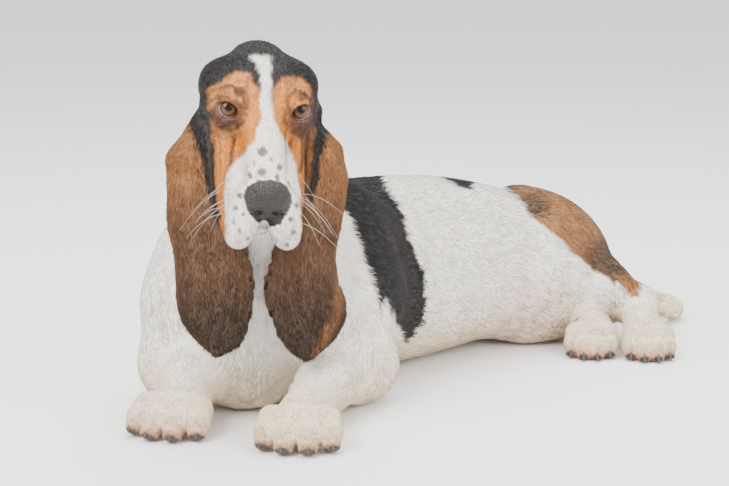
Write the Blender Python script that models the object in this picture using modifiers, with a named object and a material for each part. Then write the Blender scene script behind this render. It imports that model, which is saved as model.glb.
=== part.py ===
"""Basset hound lying on the floor, life size.  Metres, +Z up.

The masses of the body are spheres, round cones and lofts that blend into one
surface.  They are set out in a working frame (X across, Y away, Z up) and the
finished solids are turned by TURN and moved by SHIFT, so that the trunk lies
along Y with the head at the -Y end and the box stands centred on the origin.
"""
import math

import bmesh
import bpy
import numpy as np
from mathutils import Matrix, Vector

for o in list(bpy.data.objects):
    bpy.data.objects.remove(o, do_unlink=True)

# ---- sizes
TURN = math.radians(48.0)          # working frame to part frame, about Z
SHIFT = (.005006, -.134065, 0.0)   # then this move
GAP = 0.00035                      # clearance between neighbouring solids
VOXEL = 0.0065                     # first grid of the body
VOXEL_EAR = 0.0030                 # first grid of an ear
BODY_FACES = 3500                  # triangles left on the whole body
EAR_FACES = 480                    # triangles left on each ear
NOSE_FACES = 200
COAT_OUT = 0.0004                  # the faceted surface stands this far out


def rot_from(fwd, up):
    f=np.array(fwd,float); f/=np.linalg.norm(f)
    u=np.array(up,float); u-=f*(u@f); u/=np.linalg.norm(u)
    l=np.cross(u,f)      # left
    return np.stack([l,f,u])   # rows: local x=left, y=forward, z=up

class Ell:
    def __init__(s,c,r,R=None,k=.02,sub=False):
        s.c=np.array(c,float); s.r=np.array(r,float); s.R=None if R is None else np.array(R,float); s.k=k; s.sub=sub
        s.bc=s.c; s.br=max(r)
    def d(s,p):
        q=p-s.c
        if s.R is not None: q=q@s.R.T
        a=q/s.r; b=a/s.r
        k0=np.sqrt((a*a).sum(-1)); k1=np.sqrt((b*b).sum(-1))
        return k0*(k0-1)/np.maximum(k1,1e-9)

class Cone:
    """round cone between a and b, flat: squash factor across an axis"""
    def __init__(s,a,b,ra,rb,k=.02,sub=False):
        s.a=np.array(a,float); s.b=np.array(b,float); s.ra=ra; s.rb=rb; s.k=k; s.sub=sub
        s.bc=(s.a+s.b)/2; s.br=np.linalg.norm(s.b-s.a)/2+max(ra,rb)
    def d(s,p):
        ba=s.b-s.a; L2=ba@ba
        t=np.clip(((p-s.a)@ba)/L2,0,1)
        q=p-s.a-t[...,None]*ba
        return np.sqrt((q*q).sum(-1))-(s.ra+(s.rb-s.ra)*t)

def catmull(P,n):
    P=np.array(P,float); m=len(P)
    ext=np.vstack([2*P[0]-P[1],P,2*P[-1]-P[-2]])
    out=[]
    for i in range(m-1):
        p0,p1,p2,p3=ext[i:i+4]
        for j in range(n):
            t=j/n
            out.append(.5*((2*p1)+(-p0+p2)*t+(2*p0-5*p1+4*p2-p3)*t*t+(-p0+3*p1-3*p2+p3)*t**3))
    out.append(P[-1]); return np.array(out)

class Loft:
    """sections: rows of x,y,z, half-width, half-height, roll(deg)  ; ref: direction taken as up before roll"""
    def __init__(s,rows,n=5,ref=(0,0,1),caps=(1,1),k=.02,sub=False,power=2.0):
        M=catmull(rows,n); s.P=M[:,:3]; s.a=M[:,3]; s.b=M[:,4]; roll=np.radians(M[:,5])
        T=np.gradient(s.P,axis=0); T/=np.linalg.norm(T,axis=1)[:,None]
        ref=np.array(ref,float)
        U=ref-T*(T@ref)[:,None]; U/=np.linalg.norm(U,axis=1)[:,None]
        S=np.cross(U,T)
        s.T=T; s.U=U*np.cos(roll)[:,None]+np.cross(T,U)*np.sin(roll)[:,None]
        s.S=np.cross(s.U,T); s.caps=caps; s.k=k; s.sub=sub; s.pw=power
        s.bc=s.P.mean(0); s.br=np.max(np.linalg.norm(s.P-s.bc,axis=1)+np.maximum(s.a,s.b)*1.1)
    def local(s,p):
        P=s.P; A=P[:-1]; B=P[1:]-A; L2=(B*B).sum(1)
        best=np.full(len(p),1e9); bi=np.zeros(len(p),int); bt=np.zeros(len(p))
        for i in range(len(A)):
            q=p-A[i]; t=(q@B[i])/L2[i]
            tc=np.clip(t,0,1)
            r=q-tc[:,None]*B[i]; dd=(r*r).sum(1)
            m=dd<best; best[m]=dd[m]; bi[m]=i; bt[m]=tc[m]
        i=bi; t=bt[:,None]
        c=A[i]+B[i]*t
        def mix(V): return V[i]*(1-t)+V[i+1]*t
        S=mix(s.S); U=mix(s.U); T=mix(s.T)
        a=s.a[i]*(1-bt)+s.a[i+1]*bt; b=s.b[i]*(1-bt)+s.b[i+1]*bt
        q=p-c
        return (q*S).sum(1),(q*U).sum(1),(q*T).sum(1),a,b,(i+bt)/(len(A))
    def d(s,p):
        x,y,w,a,b,t=s.local(p)
        end=np.where(t<.001,s.caps[0],np.where(t>.999,s.caps[1],0))
        c=np.where(end>0,np.minimum(a,b)*np.maximum(end,.05),1e9)
        w=np.where(end>0,w,0)
        q=np.stack([x/a,y/b,w/c],-1); g=np.stack([x/a**2,y/b**2,w/c**2],-1)
        if s.pw!=2.0:
            n=s.pw
            k0=(np.abs(q)**n).sum(-1)**(1/n); gg=np.abs(q)**(n-1)*np.sign(q)/np.stack([a,b,c],-1)
            k1=np.sqrt((gg*gg).sum(-1))/np.maximum(k0,1e-9)**(n-1)
            return (k0-1)/np.maximum(k1,1e-9)
        k0=np.sqrt((q*q).sum(-1)); k1=np.sqrt((g*g).sum(-1))
        return k0*(k0-1)/np.maximum(k1,1e-9)

def smin(a,b,k):
    if k<=0: return np.minimum(a,b)
    h=np.maximum(k-np.abs(a-b),0)/k
    return np.minimum(a,b)-h*h*k*.25
def smax(a,b,k): return -smin(-a,-b,k)

def union(prims,p,far=.3,reach=.07):
    c=p.mean(0); R=np.sqrt(((p-c)**2).sum(1).max())
    d=np.full(len(p),far)
    for s in prims:
        lb=np.linalg.norm(s.bc-c)-R-s.br
        if lb>reach: continue
        e=s.d(p)
        d=smax(d,-e,s.k) if s.sub else smin(d,e,s.k)
    return d

def blocks_eval(fn,p,bs=.05):
    """evaluates fn over points in spatial blocks"""
    key=np.floor(p/bs).astype(int); key-=key.min(0)
    kk=(key[:,0]*1000+key[:,1])*1000+key[:,2]
    o=np.argsort(kk,kind="stable"); ks=kk[o]
    cut=np.flatnonzero(np.diff(ks))+1
    out=np.empty(len(p))
    for idx in np.split(o,cut): out[idx]=fn(p[idx])
    return out


# ---- the animal's masses
Z=np.array([0,0,1.])
# ---------- head frame
HP,HY,HR=math.radians(41),math.radians(7),math.radians(-4)
HO=np.array([-.1120,-.157,.3855])
def head_frame():
    f=np.array([math.sin(HY)*math.cos(HP),-math.cos(HY)*math.cos(HP),-math.sin(HP)])
    u=Z-f*(Z@f); u/=np.linalg.norm(u)
    # roll about f
    u=u*math.cos(HR)+np.cross(f,u)*math.sin(HR)
    l=np.cross(u,f)   # dog's left
    return l,f,u
HL,HF,HU=head_frame()
def H(l,f,u): return HO+HL*l+HF*f+HU*u
HRm=np.stack([HL,HF,HU])
def hell(c,r,k=.015,sub=False,both=True,tilt=None):
    out=[]
    for s in ((1,-1) if both and abs(c[0])>1e-6 else (1,)):
        R=HRm
        if tilt is not None:
            ax,ang=tilt   # rotation within head frame
            ang=math.radians(ang)*(s if ax!='l' else 1)
            c_,s_=math.cos(ang),math.sin(ang)
            if ax=='l': Rl=np.array([[1,0,0],[0,c_,s_],[0,-s_,c_]])
            elif ax=='f': Rl=np.array([[c_,0,-s_],[0,1,0],[s_,0,c_]])
            else: Rl=np.array([[c_,s_,0],[-s_,c_,0],[0,0,1]])
            R=Rl@HRm
        out.append(Ell(H(c[0]*s,c[1],c[2]),r,R,k,sub))
    return out
def hcone(a,b,ra,rb,k=.012,sub=False,both=True):
    out=[]
    for s in ((1,-1) if both and (abs(a[0])>1e-6 or abs(b[0])>1e-6) else (1,)):
        out.append(Cone(H(a[0]*s,a[1],a[2]),H(b[0]*s,b[1],b[2]),ra,rb,k,sub))
    return out
def hloft(rows,n=4,k=.012,both=True,ref=None,sub=False,pw=2.0,caps=(1,1)):
    out=[]
    for s in ((1,-1) if both else (1,)):
        R=[]
        for r in rows:
            c=H(r[0]*s,r[1],r[2]); R.append([*c,r[3],r[4],(r[5] if len(r)>5 else 0)*s])
        out.append(Loft(R,n,ref=HU if ref is None else ref,k=k,sub=sub,power=pw,caps=caps))
    return out

EYE_R=.0112
EYE=(.0375,.0495,.0100)
def hang(l,f,u,h):
    return (l,f+math.sin(HP)*h,u-math.cos(HP)*h)
def vloft(rows,k=.012,n=4):
    """flap hanging straight down: rows of l,f,u start point, drop, half thickness across, half length fore and aft"""
    out=[]
    ref=(math.sin(HY),-math.cos(HY),0)
    for s in (1,-1):
        R=[]
        for l,f,u,h,a_,b_ in rows:
            c=hang(l,f,u,h); R.append([*H(c[0]*s,c[1],c[2]),a_,b_,0])
        out.append(Loft(R,n,ref=ref,k=k))
    return out
def head():
    P=[]
    P+=hell((0,-.004,-.0125),(.0475,.052,.0360),k=0)                       # skull
    P+=hell((0,-.046,-.016),(.024,.016,.022),k=.03)                       # occiput
    P+=hell((0,.030,.006),(.037,.034,.022),k=.025)                       # forehead
    P+=hloft([(0,.030,.000,.032,.027),(0,.060,-.003,.0255,.0245),(0,.092,-.007,.0225,.0225),(0,.124,-.008,.0220,.0205),(0,.149,-.009,.0225,.0185)],both=False,k=.020,pw=2.3)  # muzzle bridge
    P+=hell((0,.096,-.036),(.026,.058,.024),k=.02)                       # lower muzzle
    P+=hell((.035,.006,-.036),(.021,.042,.034),k=.022)                   # cheeks
    P+=hell((.032,.044,.0195),(.0150,.015,.0075),k=.014,tilt=('f',-20))  # brow
    P+=hcone((.042,.038,-.012),(.049,-.005,-.010),.0115,.014,k=.02)
    P+=hloft([(.041,.034,-.048,.010,.030,8),(.039,.062,-.056,.0105,.037,8),(.0365,.092,-.062,.0112,.043,6),(.0330,.122,-.064,.0125,.042,3),(.0255,.150,-.058,.0140,.032,0)],k=.014)   # upper lip
    P+=hcone((.0170,.143,-.028),(.0225,.160,-.050),.0175,.0160,k=.010)
    P+=hcone((.0225,.160,-.050),(.0250,.166,-.060),.0160,.0125,k=.010)
    P+=hloft([(0,.018,-.062,.030,.016),(0,.066,-.074,.024,.012),(0,.102,-.086,.019,.011),(0,.125,-.093,.0155,.010)],both=False,k=.006)
    P+=hell((.040,.040,-.072),(.009,.024,.020),k=.014)
    P+=hell((0,.1530,-.0090),(.0235,.0125,.0165),k=.005)
    P+=hell((.0125,.1555,-.0120),(.0120,.0115,.0130),k=.005)
    return P
def eyes_pos():
    return [H(s*EYE[0],EYE[1],EYE[2]) for s in (1,-1)]
def lids():
    out=[]
    for s in (1,-1):
        c=H(s*EYE[0],EYE[1],EYE[2])
        out.append(Ell(c,(EYE_R+.0032,)*3,HRm,.009))
    return out
class Ear:
    """hanging leaf given as level slices: rows z, outer x,y, mid x,y, inner x,y, half-thickness"""
    def __init__(s,rows,k=.006):
        M=catmull(sorted(rows),6); s.M=M; s.z=M[:,0]; s.k=k; s.sub=False
        lo=M[:,[1,3,5]].min(),M[:,[2,4,6]].min(); hi=M[:,[1,3,5]].max(),M[:,[2,4,6]].max()
        s.bc=np.array([(lo[0]+hi[0])/2,(lo[1]+hi[1])/2,(s.z[0]+s.z[-1])/2])
        s.br=math.sqrt((hi[0]-lo[0])**2+(hi[1]-lo[1])**2+(s.z[-1]-s.z[0])**2)/2+.012
    def d(s,p):
        z=np.clip(p[:,2],s.z[0],s.z[-1]); R=[np.interp(z,s.z,s.M[:,i]) for i in range(1,8)]
        out=np.array(R[0:2]);mid=np.array(R[2:4]);inn=np.array(R[4:6]); th=R[6]
        best=np.full(len(p),1e9); n=10; prev=None
        for i in range(n+1):
            t=i/n; c=(1-t)**2*out+2*t*(1-t)*mid+t*t*inn
            if prev is not None:
                e=c-prev; q=p[:,:2].T-prev; L=np.maximum((e*e).sum(0),1e-12)
                tt=np.clip((q*e).sum(0)/L,0,1); r=q-e*tt; dd=np.sqrt((r*r).sum(0))
                tg=(i-1+tt)/n; edge=np.minimum(tg,1-tg)
                hth=th*np.clip(.55+edge*4,0,1)
                best=np.minimum(best,dd-hth)
            prev=c
        dz=p[:,2]-z
        return np.where(np.abs(dz)>0,np.sqrt(np.maximum(best+th,0)**2+dz**2)-th*.8,best)
EAR_ROWS={
 "R":[(0.374, -0.163, -0.128, -0.1658, -0.137, -0.16, -0.146, 0.005), (0.356, -0.1749, -0.121, -0.1762, -0.14, -0.16, -0.156, 0.0062), (0.338, -0.1873, -0.1196, -0.184, -0.1549, -0.15, -0.1597, 0.0066), (0.325, -0.1956, -0.1211, -0.1923, -0.1595, -0.1497, -0.1614, 0.0064), (0.312, -0.2072, -0.1225, -0.2037, -0.164, -0.1488, -0.163, 0.0062), (0.3, -0.2139, -0.1239, -0.2103, -0.1682, -0.148, -0.1645, 0.006), (0.28, -0.216, -0.1261, -0.1961, -0.1752, -0.145, -0.1669, 0.0057), (0.255, -0.2156, -0.129, -0.1945, -0.184, -0.1407, -0.1701, 0.0053), (0.225, -0.2162, -0.1324, -0.1929, -0.1945, -0.1329, -0.1738, 0.0048), (0.195, -0.21, -0.1357, -0.1864, -0.205, -0.1257, -0.1775, 0.0043), (0.165, -0.2078, -0.1391, -0.1834, -0.212, -0.1207, -0.1812, 0.0039), (0.138, -0.2067, -0.1422, -0.1833, -0.212, -0.1232, -0.1846, 0.0036), (0.12, -0.2017, -0.1442, -0.1809, -0.212, -0.1276, -0.1868, 0.0036), (0.107, -0.1906, -0.1543, -0.1747, -0.2086, -0.1337, -0.188, 0.0036), (0.0985, -0.1781, -0.1643, -0.1677, -0.2049, -0.141, -0.188, 0.0036), (0.0925, -0.1661, -0.1714, -0.163, -0.2024, -0.1548, -0.188, 0.0036)],
 "L":[(0.374, -0.063, -0.128, -0.0613, -0.137, -0.068, -0.146, 0.005), (0.356, -0.054, -0.121, -0.0521, -0.14, -0.064, -0.156, 0.0062), (0.338, -0.054, -0.1196, -0.0506, -0.1549, -0.0607, -0.1597, 0.0066), (0.325, -0.0425, -0.1211, -0.0407, -0.1595, -0.061, -0.1614, 0.0064), (0.313, -0.0313, -0.1224, -0.0309, -0.1637, -0.0634, -0.1628, 0.0062), (0.3, -0.028, -0.1239, -0.028, -0.1682, -0.066, -0.1645, 0.006), (0.28, -0.0215, -0.1261, -0.0349, -0.1752, -0.071, -0.1669, 0.0057), (0.255, -0.0229, -0.129, -0.0379, -0.184, -0.0785, -0.1701, 0.0053), (0.225, -0.0279, -0.1324, -0.0445, -0.1945, -0.0892, -0.1738, 0.0048), (0.195, -0.0337, -0.1357, -0.052, -0.205, -0.1007, -0.1775, 0.0043), (0.165, -0.0305, -0.1391, -0.0515, -0.212, -0.1075, -0.1812, 0.0039), (0.138, -0.0216, -0.1422, -0.044, -0.212, -0.1034, -0.1846, 0.0036), (0.118, -0.0238, -0.1444, -0.0432, -0.212, -0.0952, -0.1871, 0.0036), (0.104, -0.0333, -0.1578, -0.0478, -0.2073, -0.0868, -0.188, 0.0036), (0.094, -0.0466, -0.1697, -0.0548, -0.203, -0.0776, -0.188, 0.0036), (0.088, -0.0581, -0.1768, -0.0604, -0.2004, -0.0681, -0.188, 0.0036)],
}
def ear_lofts(k=.006): return [Ear(EAR_ROWS["R"],k),Ear(EAR_ROWS["L"],k)]
def ear_roots():
    P=[]
    P+=hcone((.038,-.012,-.012),(.052,-.020,-.034),.0125,.012,k=.020)
    P+=hcone((.042,.000,-.010),(.054,.008,-.036),.0085,.009,k=.018)
    return P

def torso():
    P=[]
    tr=Loft([(-.150,-.085,.120,.052,.070,0),(-.125,-.045,.121,.085,.111,0),(-.095,.005,.123,.102,.124,0),(-.020,.090,.121,.106,.123,5),(.070,.165,.117,.102,.121,15),(.148,.228,.108,.096,.111,35),(.212,.272,.096,.087,.097,55),(.266,.306,.079,.068,.077,65),(.306,.328,.058,.046,.054,65)],5,k=0,caps=(1,1))
    P.append(tr)
    # neck
    P.append(Loft([(-.080,.030,.165,.078,.075,0),(-.092,-.025,.220,.062,.070,0),(-.102,-.070,.280,.050,.060,0),(-.109,-.105,.335,.042,.050,0)],5,ref=(0,1,.6),k=.045))
    # throat / dewlap
    P.append(Cone((-.108,-.140,.300),(-.116,-.105,.200),.022,.040,k=.04))
    P.append(Cone((-.113,-.110,.200),(-.130,-.090,.100),.042,.050,k=.05))
    P.append(Ell((-.137,-.075,.056),(.060,.055,.060),k=.05))     # keel of chest on the floor
    return P
def forelegs():
    P=[]
    # left (viewer's right)
    P.append(Ell((-.016,-.008,.142),(.046,.058,.085),k=.05))       # shoulder/upper arm L
    P.append(Cone((-.024,-.035,.110),(-.006,-.050,.048),.048,.040,k=.04))
    P.append(Cone((-.004,-.055,.040),(-.046,-.150,.046),.039,.031,k=.03)) # forearm
    P.append(Cone((-.045,-.150,.044),(-.066,-.205,.0325),.0285,.028,k=.02))   # wrist
    # right
    P.append(Ell((-.205,-.040,.135),(.048,.060,.085),k=.05))
    P.append(Cone((-.205,-.060,.110),(-.215,-.070,.055),.050,.042,k=.04))
    P.append(Cone((-.215,-.070,.046),(-.197,-.130,.050),.042,.034,k=.03))
    P.append(Cone((-.197,-.130,.047),(-.203,-.165,.0345),.030,.028,k=.02))
    return P
def paw(center,fwd,w,toes=4,L=.058,r=.0125,h=.024,dew=None,spread=11,up=(0,0,1),k=.004):
    """paw: metacarpal pad block and toes fanned about fwd.  centre is on the wrist end; returns prims, claw list"""
    P=[];claws=[];pads=[]
    fwd=np.array(fwd,float); fwd/=np.linalg.norm(fwd); up=np.array(up,float); up-=fwd*(up@fwd); up/=np.linalg.norm(up)
    side=np.cross(up,fwd)   # to the left
    c=np.array(center,float)
    lens=(.80,1.0,1.0,.80); offs=(-1.5,-.5,.5,1.5)
    for i,(o,ln) in enumerate(zip(offs,lens)):
        a=math.radians(-spread*o)
        d=fwd*math.cos(a)-side*math.sin(a)
        d=fwd*math.cos(a)+side*math.sin(math.radians(spread*o))
        b=c+side*(o*w*.25)
        k1=b+d*(L*ln*.50)+up*(h*.42)        # knuckle high
        k2=b+d*(L*ln*.82)+up*(h*.02)
        tip=b+d*(L*ln*1.0)-up*(h*.36)
        P.append(Cone(b,k1,r*1.08,r*1.14,k=.010))
        P.append(Cone(k1,k2,r*1.14,r*1.08,k=k))
        P.append(Cone(k2,tip,r*1.06,r*.86,k=k))
        claws.append((tip+up*(h*.20)+d*r*.35,(d*1.0-up*.75)/np.linalg.norm(d*1.0-up*.75),d,up))
        pads.append((tip-up*(h*.15)+d*r*.15,d,up))
    return P,claws,pads
def hindlegs():
    P=[]
    # upper = left: thigh
    P.append(Ell((.236,.262,.118),(.064,.078,.066),k=.05,R=rot_from((.3,-.8,-.4),(0,0,1))))
    P.append(Cone((.252,.278,.112),(.242,.232,.102),.060,.050,k=.04))
    P.append(Cone((.245,.235,.100),(.315,.232,.074),.047,.037,k=.03))
    P.append(Cone((.315,.232,.074),(.362,.228,.050),.036,.027,k=.02))
    P.append(Cone((.364,.230,.050),(.361,.165,.036),.0280,.0255,k=.014))
    # lower = right
    P.append(Cone((.260,.290,.068),(.218,.232,.050),.062,.046,k=.05))
    P.append(Cone((.218,.232,.048),(.300,.230,.038),.044,.030,k=.02))
    P.append(Cone((.300,.230,.036),(.299,.176,.034),.0270,.0245,k=.012))
    return P
def tail():
    return [Loft([(.300,.330,.060,.026,.026,0),(.345,.368,.035,.022,.022,0),(.392,.392,.0190,.0185,.0185,0),(.428,.388,.0158,.0165,.0165,0),(.437,.360,.0150,.0145,.0145,0),(.424,.330,.0200,.0125,.0125,0),(.404,.308,.030,.0085,.0085,0)],5,k=.015,caps=(1,1))]
PAWS={}
def paws():
    P=[];C={}
    for n,c,fw,w,L,up in (("fore_left",(-.067,-.207,.0200),(-.10,-1,0),.062,.056,(0,0,1)),
                       ("fore_right",(-.204,-.160,.0200),(-.30,-1,0),.062,.056,(0,0,1)),
                       ("hind_left",(.3665,.172,.0205),(-.02,-1,-.1),.046,.050,(0,0,1)),
                       ("hind_right",(.2960,.182,.0205),(-.12,-1,-.1),.046,.050,(0,0,1))):
        p,cl,pd=paw(c,fw,w,L=L,r=.0140 if n[0]=='f' else .0118,up=up,spread=11 if n[0]=='f' else 6)
        P+=p; C[n]=(cl,pd)
    return P,C
def floor(d,p,k=.004): return smax(d,-p[:,2],k)


# ---- nose, eyes and claws
NOSE = (((0, .1530, -.0090), (.0235, .0125, .0165)), ((.0125, .1555, -.0120), (.0120, .0115, .0130)))
EYE_OPEN = (.0100, .0086, .0095)   # half width, half height, half depth of the opening between the lids
CLAW_R, CLAW_L = .0030, .0125


def eye_dirs():
    out = []
    for s in (1, -1):
        c = H(s * EYE[0], EYE[1], EYE[2])
        d = HL * (.30 * s) + HF * .70 + HU * .62
        out.append((c, d / np.linalg.norm(d)))
    return out


# ---- fields
HEAD_MASS = head() + ear_roots() + lids()
PAW_MASS, PAW_INFO = paws()
BODY_MASS = torso() + forelegs() + hindlegs() + tail() + PAW_MASS
FLOOR = -.004                      # the field ends here; the floor flats are cut later at 0


def floor_at(d, p):
    return smax(d, FLOOR - p[:, 2], .002)


def body_field(p):
    return floor_at(smin(union(BODY_MASS, p), union(HEAD_MASS, p), .03), p)


def ear_field(ear):
    return lambda p: ear.d(p)


def nose_field(p):
    return union(NOSE_MASS, p)


NOSE_MASS = []
for c, r in NOSE:
    NOSE_MASS += hell(c, r, k=.005)


# ---- helpers
SOLIDS = bpy.data.collections.new("basset_hound")
CUTTERS = bpy.data.collections.new("cutters")
for c in (SOLIDS, CUTTERS):
    bpy.context.scene.collection.children.link(c)
CUTTERS.hide_render = True


def material(name, rgb, rough):
    m = bpy.data.materials.new(name)
    m.use_nodes = True
    n = m.node_tree.nodes["Principled BSDF"]
    n.inputs["Base Color"].default_value = (*rgb, 1)
    n.inputs["Roughness"].default_value = rough
    return m


def linked(name, mesh, where):
    o = bpy.data.objects.new(name, mesh)
    where.objects.link(o)
    return o


def baked(o):
    """the object's mesh with its modifiers applied"""
    g = bpy.context.evaluated_depsgraph_get()
    m = bpy.data.meshes.new_from_object(o.evaluated_get(g))
    old = o.data
    o.modifiers.clear()
    o.data = m
    bpy.data.meshes.remove(old)
    return o


def modify(o, kind, **values):
    m = o.modifiers.new(kind.lower(), kind)
    for k, v in values.items():
        setattr(m, k, v)
    bpy.context.view_layer.update()
    return baked(o)


def unit_ball(seg):
    bm = bmesh.new()
    bmesh.ops.create_uvsphere(bm, u_segments=seg, v_segments=seg // 2 + 1, radius=1.0)
    v = np.array([x.co[:] for x in bm.verts])
    f = [[x.index for x in y.verts] for y in bm.faces]
    bm.free()
    return v, f


BALLS = {n: unit_ball(n) for n in (6, 14, 16, 20)}


def balls_mesh(name, balls):
    """one mesh of spheres, each given as centre, half sizes, rows of its axes, segments"""
    V, F, n = [], [], 0
    for c, r, R, seg in balls:
        v, f = BALLS[seg]
        B = np.eye(3) if R is None else np.array(R)
        V.append((v * np.array(r)) @ B + np.array(c))
        F += [[i + n for i in x] for x in f]
        n += len(v)
    me = bpy.data.meshes.new(name)
    me.from_pydata(np.vstack(V).tolist(), [], F)
    me.update()
    return me


def rough(s):
    """a row of spheres that fills one mass"""
    if isinstance(s, Ell):
        return [(s.c, s.r, s.R, 20)]
    if isinstance(s, Cone):
        n = max(3, int(np.linalg.norm(s.b - s.a) / (min(s.ra, s.rb) * .6)) + 1)
        return [(s.a + (s.b - s.a) * t, (s.ra + (s.rb - s.ra) * t,) * 3, None, 14) for t in np.linspace(0, 1, n)]
    if isinstance(s, Loft):
        return [(s.P[i], (s.a[i], s.b[i], min(s.a[i], s.b[i])), np.stack([s.S[i], s.U[i], s.T[i]]), 14) for i in range(len(s.P))]
    out = []
    for z in np.arange(s.z[0], s.z[-1] + .001, .004):
        R = [np.interp(z, s.z, s.M[:, i]) for i in range(1, 8)]
        for t in np.linspace(0, 1, 24):
            x, y = [(1 - t) ** 2 * R[j] + 2 * t * (1 - t) * R[2 + j] + t * t * R[4 + j] for j in (0, 1)]
            out.append(((x, y, z), (R[6],) * 3, None, 6))
    return out


def coords(mesh):
    a = np.empty(len(mesh.vertices) * 3, np.float64)
    mesh.vertices.foreach_get("co", a)
    return a.reshape(-1, 3)


def settle(o, field, steps=3, out=0.0):
    """moves every vertex along the field's gradient until it lies on the surface"""
    p = coords(o.data)
    e = .0008
    for _ in range(steps):
        d = blocks_eval(field, p)
        g = np.stack([blocks_eval(field, p + e * np.eye(3)[i]) - d for i in range(3)], -1) / e
        L = np.maximum((g * g).sum(1), .25)
        mv = g * ((d - out) / L)[:, None]
        n = np.linalg.norm(mv, axis=1)
        mv *= np.minimum(1, .006 / np.maximum(n, 1e-9))[:, None]
        p = p - mv
    o.data.vertices.foreach_set("co", p.astype(np.float32).ravel())
    o.data.update()


def settled_solid(name, masses, field, voxel, faces):
    balls = []
    for m in masses:
        if not m.sub:
            balls += rough(m)
    o = linked(name, balls_mesh(name, balls), SOLIDS)
    modify(o, "REMESH", mode="VOXEL", voxel_size=voxel, use_smooth_shade=True)
    settle(o, field, 3)
    modify(o, "REMESH", mode="VOXEL", voxel_size=voxel * .85, use_smooth_shade=True)
    settle(o, field, 2)
    modify(o, "TRIANGULATE")
    total = len(o.data.polygons)
    modify(o, "DECIMATE", ratio=faces / total)
    settle(o, field, 2, COAT_OUT)
    return o


def plate(name, c, n, a, b, up=(0, 0, 1), t=GAP):
    """a thin plate centred on c, square to n, half sizes a across and b up"""
    n = Vector(n).normalized()
    u = Vector(up)
    u = (u - n * u.dot(n)).normalized()
    s = u.cross(n)
    M = Matrix.Identity(4)
    for i in range(3):
        M[i][0], M[i][1], M[i][2], M[i][3] = s[i] * a * 2, u[i] * b * 2, n[i] * t, c[i]
    bm = bmesh.new()
    bmesh.ops.create_cube(bm, size=1.0, matrix=M)
    me = bpy.data.meshes.new(name)
    bm.to_mesh(me)
    bm.free()
    return linked(name, me, CUTTERS)


def cut(o, cutter, **more):
    return modify(o, "BOOLEAN", object=cutter, operation="DIFFERENCE", solver="EXACT", **more)


def tidy(o):
    bm = bmesh.new()
    bm.from_mesh(o.data)
    bmesh.ops.remove_doubles(bm, verts=bm.verts, dist=.00002)
    bmesh.ops.dissolve_degenerate(bm, dist=.00001, edges=bm.edges)
    bmesh.ops.holes_fill(bm, edges=[e for e in bm.edges if e.is_boundary], sides=0)
    bmesh.ops.triangulate(bm, faces=bm.faces)
    bm.to_mesh(o.data)
    bm.free()


def pieces(o):
    """the loose bodies of a mesh, each as its own object, largest first"""
    bm = bmesh.new()
    bm.from_mesh(o.data)
    left = set(bm.verts)
    groups = []
    while left:
        seed = left.pop()
        found, stack = {seed}, [seed]
        while stack:
            v = stack.pop()
            for e in v.link_edges:
                w = e.other_vert(v)
                if w not in found:
                    found.add(w)
                    stack.append(w)
        left -= found
        groups.append(found)
    groups.sort(key=lambda g: -len(g))
    out = []
    for g in groups:
        idx = {v: i for i, v in enumerate(sorted(g, key=lambda v: v.index))}
        me = bpy.data.meshes.new("piece")
        fs = [[idx[v] for v in f.verts] for f in bm.faces if f.verts[0] in g]
        me.from_pydata([tuple(v.co) for v in idx], [], fs)
        out.append(linked("piece", me, SOLIDS))
    bm.free()
    bpy.data.objects.remove(o, do_unlink=True)
    return out


def inflated(o, name, by):
    """a copy of the solid that stands out by `by` all round, kept as a cutter"""
    me = o.data.copy()
    c = linked(name, me, CUTTERS)
    p = coords(me)
    nrm = np.empty(len(me.vertices) * 3, np.float32)
    me.vertices.foreach_get("normal", nrm)
    me.vertices.foreach_set("co", (p + nrm.reshape(-1, 3) * by).astype(np.float32).ravel())
    me.update()
    return c


# ---- the body in one piece
body = settled_solid("body", BODY_MASS + HEAD_MASS, body_field, VOXEL, BODY_FACES)

room = inflated(body, "head_room", .0026)   # taken off the ears later
modify(room, "REMESH", mode="VOXEL", voxel_size=.0040)

# floor flats: everything under the floor is taken off
slab = plate("under_floor", (.10, .08, -.05), (0, 0, 1), .6, .6, up=(0, 1, 0), t=.1)
cut(body, slab)

# nose
nose = settled_solid("nose", NOSE_MASS, nose_field, .0022, NOSE_FACES)
cut(body, inflated(nose, "nose_room", GAP))

# eyes: a ball behind an opening between the lids
eyes = []
for side, (c, d) in zip(("left", "right"), eye_dirs()):
    eyes.append(linked("eye_" + side, balls_mesh("eye", [(c, (EYE_R,) * 3, None, 16)]), SOLIDS))
    cut(body, linked("eye_room_" + side, balls_mesh("eye_room", [(c, (EYE_R + GAP * 1.6,) * 3, None, 16)]), CUTTERS))
    u = HU - d * (HU @ d)
    u /= np.linalg.norm(u)
    cut(body, linked("lid_opening_" + side, balls_mesh("lid_opening", [(c + d * .0115, EYE_OPEN, np.stack([np.cross(u, d), u, d]), 20)]), CUTTERS))

# ears: each a hanging leaf, trimmed where it meets the head
ears = []
for side, ear in zip(("right", "left"), ear_lofts()):
    o = settled_solid("ear_" + side, [ear], ear_field(ear), VOXEL_EAR, EAR_FACES)
    cut(o, room)
    tidy(o)
    p = pieces(o)
    for x in p[1:]:
        bpy.data.objects.remove(x, do_unlink=True)
    p[0].name = "ear_" + side
    ears.append(p[0])

# claws
def claw_mesh(M, grow):
    bm = bmesh.new()
    bmesh.ops.create_cone(bm, cap_ends=True, segments=8, radius1=CLAW_R + grow, radius2=CLAW_R * .35 + grow, depth=CLAW_L + grow * 2, matrix=M)
    me = bpy.data.meshes.new("claw")
    bm.to_mesh(me)
    bm.free()
    return me


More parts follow.
